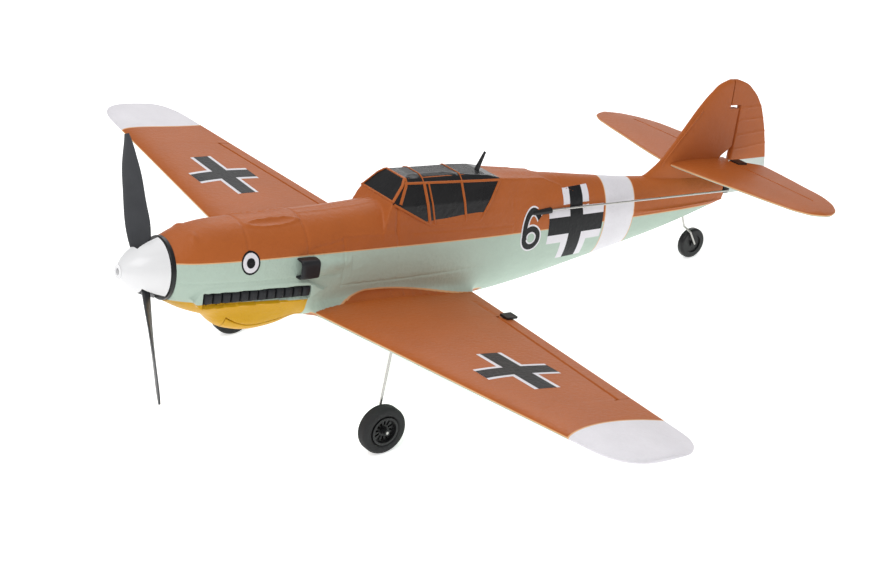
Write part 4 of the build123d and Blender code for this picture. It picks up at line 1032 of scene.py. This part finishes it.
MOUTH = [
    (72.6, 4.0, 4.0), (72.9, 4.25, 4.25), (75.0, 4.35, 4.35), (79.0, 4.3, 4.3), (81.4, 4.15, 4.15),
    (81.4, 3.0, 3.0), (80.0, 3.1, 3.1), (78.0, 3.2, 3.2), (74.0, 3.3, 3.3), (72.9, 3.4, 3.4),
    (72.6, 3.6, 3.6),
]
intake_line = [(17.0, y, 1.0) for y, _, _ in MOUTH]
intake_loops = oval_stack(intake_line, [(w, h) for _, w, h in MOUTH], 40, 4.5)
intake_faces = sheet_faces(len(MOUTH), 40, True)
intake_faces += [
    (40 * (len(MOUTH) - 1) + i, 40 * (len(MOUTH) - 1) + (i + 1) % 40, (i + 1) % 40, i) for i in range(40)
]
intake = piece(
    "intake_mouth", intake_loops, intake_faces, "airframe", exhaust_black, 50
)
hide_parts("intake_scoop")
back = oval_stack([(17.0, 80.2, 1.0), (17.0, 80.9, 1.0)], [(3.3, 3.3), (3.3, 3.3)], 24, 4.5)
loop_stack("intake_back", back, "airframe", exhaust_black)

# ---- painted marks laid on the foam ----
LAY = 0.03


def side_skin_x(y, z):
    """Half width of the fuselage skin at a station and height."""
    low, high = np.full_like(y, 1.0), np.full_like(y, 20.5)
    for _ in range(16):
        middle = (low + high) / 2
        filled = skin_gap(middle, y, z) < 0
        low = np.where(filled, middle, low)
        high = np.where(filled, high, middle)
    return low + pressed_lines(low, y, z)


def mark_on_side(name, points, faces, sign, lay, material):
    """Lay a flat mark, drawn by station and height, on the fuselage side."""
    x = side_skin_x(points[:, 0], points[:, 1]) + lay
    placed = np.stack((sign * x, points[:, 0], points[:, 1]), axis=-1)
    made = piece(name, placed, faces, "airframe", material)
    face_outwards(made, Vector((sign, 0, 0)))


def mark_on_wing(name, points, faces, sign, lay, material, upper=1.0):
    """Lay a flat mark, drawn by span and station, on a wing."""
    span, aft = points[:, 0], points[:, 1]
    lead, trail, thickness = wing_edges(span)
    half = foil_half(np.clip((aft - lead) / (trail - lead), 0, 1), thickness)
    flap = ridge(aft - hinge_station(span) + 0.35, 0.5) * 0.55 if upper > 0 else 0.0
    z = wing_level(span) + upper * (half + lay) - flap
    placed = np.stack((sign * span, aft, z), axis=-1)
    made = piece(name, placed, faces, "airframe", material)
    face_outwards(made, Vector((0, 0, upper)))


def face_outwards(made, direction):
    """Make an open mark face a direction."""
    mesh = made.data
    total = sum((p.normal * p.area for p in mesh.polygons), Vector())
    if total.dot(direction) < 0:
        mesh.flip_normals()


def rectangle(centre, along, across, turn, step=0.7):
    """A finely divided rectangle's points and faces."""
    count_u, count_v = max(int(2 * along / step), 2), max(int(2 * across / step), 2)
    steps_u, steps_v = np.linspace(-along, along, count_u), np.linspace(-across, across, count_v)
    u, v = np.meshgrid(steps_u, steps_v, indexing="ij")
    c, s = cos(turn), sin(turn)
    points = np.stack((centre[0] + u * c - v * s, centre[1] + u * s + v * c), axis=-1)
    return points.reshape(-1, 2), sheet_faces(count_u, count_v, False)


def band(inner, outer, closed):
    """A strip between two equal lines of points."""
    steps = np.linspace(0, 1, 5)[None, :, None]
    points = inner[:, None, :] * (1 - steps) + outer[:, None, :] * steps
    count = len(inner)
    faces = sheet_faces(count, 5, False)
    if closed:
        faces += [((count - 1) * 5 + i, (count - 1) * 5 + i + 1, i + 1, i) for i in range(4)]
    return points.reshape(-1, 2), faces


CROSS_TURN = radians(-5.5)
CROSS_ARM = 4.1
WING_CROSS_BORDER, SIDE_CROSS_BORDER = 5.9, 8.2
WING_CROSS_TOP, WING_CROSS_UNDER = (117.0, 112.8), (117.0, 108.5)
SIDE_CROSS = (225.6, 6.6)
INK_LAY = LAY + 0.03
for side, sign in (("left", 1.0), ("right", -1.0)):
    for deck, upper in (("top", 1.0), ("under", -1.0)):
        centre = WING_CROSS_TOP if upper > 0 else WING_CROSS_UNDER
        for label, lay, material, wide in (
            ("border", LAY, white_mark, WING_CROSS_BORDER), ("arm", INK_LAY, black_mark, CROSS_ARM),
        ):
            bars = (("span", 21.0, CROSS_TURN), ("chord", 16.6, CROSS_TURN + pi / 2))
            for bar_name, half_long, turn in bars:
                points, faces = rectangle(centre, half_long, wide, turn)
                mark_on_wing(
                    f"wing_cross_{deck}_{label}_{bar_name}_{side}", points, faces, sign,
                    lay + (0.01 if bar_name == "chord" else 0), material, upper,
                )
    for label, lay, material, wide in (
        ("border", LAY, white_mark, SIDE_CROSS_BORDER), ("arm", INK_LAY, black_mark, CROSS_ARM),
    ):
        for bar_name, half_long, turn in (("long", 17.4, 0.0), ("upright", 16.8, pi / 2 + radians(1.0))):
            points, faces = rectangle(SIDE_CROSS, half_long, wide, turn)
            mark_on_side(
                f"side_cross_{label}_{bar_name}_{side}", points, faces, sign,
                lay + (0.01 if bar_name == "upright" else 0), material,
            )
    # A numeral six: a round bowl and a curved stem.
    turns = np.linspace(0, 2 * pi, 60, endpoint=False)
    bowl = np.stack((np.cos(turns), np.sin(turns)), axis=-1)
    bowl_centre = np.array((197.6, 2.8))
    stem_turns = np.linspace(radians(205), radians(38), 46)
    for label, lay, material, grow in (
        ("border", LAY, white_mark, 0.75), ("stroke", INK_LAY, black_mark, 0.0),
    ):
        inner = bowl_centre + bowl * np.array((3.0 - grow, 2.9 - grow))
        outer = bowl_centre + bowl * np.array((5.5 + grow, 5.6 + grow))
        points, faces = band(inner, outer, True)
        mark_on_side(f"numeral_bowl_{label}_{side}", points, faces, sign, lay, material)
        arc = np.stack((np.cos(stem_turns), np.sin(stem_turns)), axis=-1)
        inner = np.array((198.4, 5.6)) + arc * np.array((3.7 - grow, 7.9 - grow))
        outer = np.array((198.4, 5.6)) + arc * np.array((6.3 + grow, 11.0 + grow))
        points, faces = band(inner, outer, False)
        if sign < 0:
            points[:, 0] = 2 * bowl_centre[0] - points[:, 0]
        mark_on_side(f"numeral_stem_{label}_{side}", points, faces, sign, lay + 0.01, material)
    # A plain round badge with a dark rim.
    ring = np.linspace(0, 2 * pi, 40, endpoint=False)
    rim = np.stack((np.cos(ring), np.sin(ring)), axis=-1)
    badge_centre = np.array((50.9, 4.9))
    for label, inner_r, outer_r, lay, material in (
        ("rim", (3.6, 4.1), (4.3, 4.9), LAY + 0.05, black_mark),
        ("field", (0.05, 0.05), (3.8, 4.3), LAY, white_mark),
        ("dot", (0.05, 0.05), (1.9, 2.1), LAY + 0.1, black_mark),
    ):
        points, faces = band(badge_centre + rim * inner_r, badge_centre + rim * outer_r, True)
        mark_on_side(f"badge_{label}_{side}", points, faces, sign, lay, material)

# ---- camera at the product view ----
FOCAL, SENSOR = 70.96, 36.0
camera_data = bpy.data.cameras.new("camera")
camera_data.lens = FOCAL
camera_data.sensor_width = SENSOR
camera = bpy.data.objects.new("camera", camera_data)
bpy.context.scene.collection.objects.link(camera)
bpy.context.scene.camera = camera
turn = Matrix.Rotation(-NOSE_UP, 3, "X")
VIEW_AZIMUTH, VIEW_ELEVATION, VIEW_ROLL = radians(51.345), radians(20.4241), 0.1558
VIEW_DISTANCE, VIEW_RIGHT, VIEW_UP = 790.557, -2.1623, -19.146
back = Vector((
    sin(VIEW_AZIMUTH) * cos(VIEW_ELEVATION), -cos(VIEW_AZIMUTH) * cos(VIEW_ELEVATION), sin(VIEW_ELEVATION),
))
level_right = Vector((cos(VIEW_AZIMUTH), sin(VIEW_AZIMUTH), 0.0))
level_up = back.cross(level_right)
right = level_right * cos(VIEW_ROLL) + level_up * sin(VIEW_ROLL)
up = level_up * cos(VIEW_ROLL) - level_right * sin(VIEW_ROLL)
spot = Vector((0, 164, 0)) + back * VIEW_DISTANCE + right * VIEW_RIGHT + up * VIEW_UP
axes = Matrix([turn @ right, turn @ up, turn @ back]).transposed()
camera.matrix_world = Matrix.Translation(Vector(stood(spot))) @ axes.to_4x4()

# ---- floor and soft studio light ----
floor_mesh = bpy.data.meshes.new("floor")
floor_mesh.from_pydata([(-6, -6, 0), (6, -6, 0), (6, 6, 0), (-6, 6, 0)], [], [(0, 1, 2, 3)])
floor = bpy.data.objects.new("floor", floor_mesh)
bpy.context.scene.collection.objects.link(floor)
floor_material, _, floor_shader = start_material("floor_paper")
floor_shader.inputs["Base Color"].default_value = (0.93, 0.93, 0.93, 1)
floor_shader.inputs["Roughness"].default_value = 0.9
floor_shader.inputs["Emission Color"].default_value = (1, 1, 1, 1)
floor_shader.inputs["Emission Strength"].default_value = 0.6
floor_mesh.materials.append(floor_material)


def softbox(name, place, target, size, power):
    """A soft rectangular studio light aimed at a point."""
    light_data = bpy.data.lights.new(name, "AREA")
    light_data.shape = "RECTANGLE"
    light_data.size, light_data.size_y = size
    light_data.energy = power
    light = bpy.data.objects.new(name, light_data)
    bpy.context.scene.collection.objects.link(light)
    light.location = place
    aim = Vector(target) - Vector(place)
    light.rotation_euler = aim.to_track_quat("-Z", "Y").to_euler()


softbox("key_softbox", (0.35, -0.75, 1.15), (0, 0, 0.05), (0.9, 0.7), 7.5)
softbox("top_softbox", (-0.4, 0.2, 1.3), (0, 0, 0.05), (1.2, 1.2), 4.5)
softbox("rear_softbox", (-0.9, 0.8, 0.7), (0, 0, 0.05), (0.8, 0.5), 3)
world = bpy.data.worlds.new("studio")
bpy.context.scene.world = world
world.use_nodes = True
world.node_tree.nodes["Background"].inputs["Color"].default_value = (1, 1, 1, 1)
world.node_tree.nodes["Background"].inputs["Strength"].default_value = 0.42
bpy.context.scene.view_settings.view_transform = "Standard"
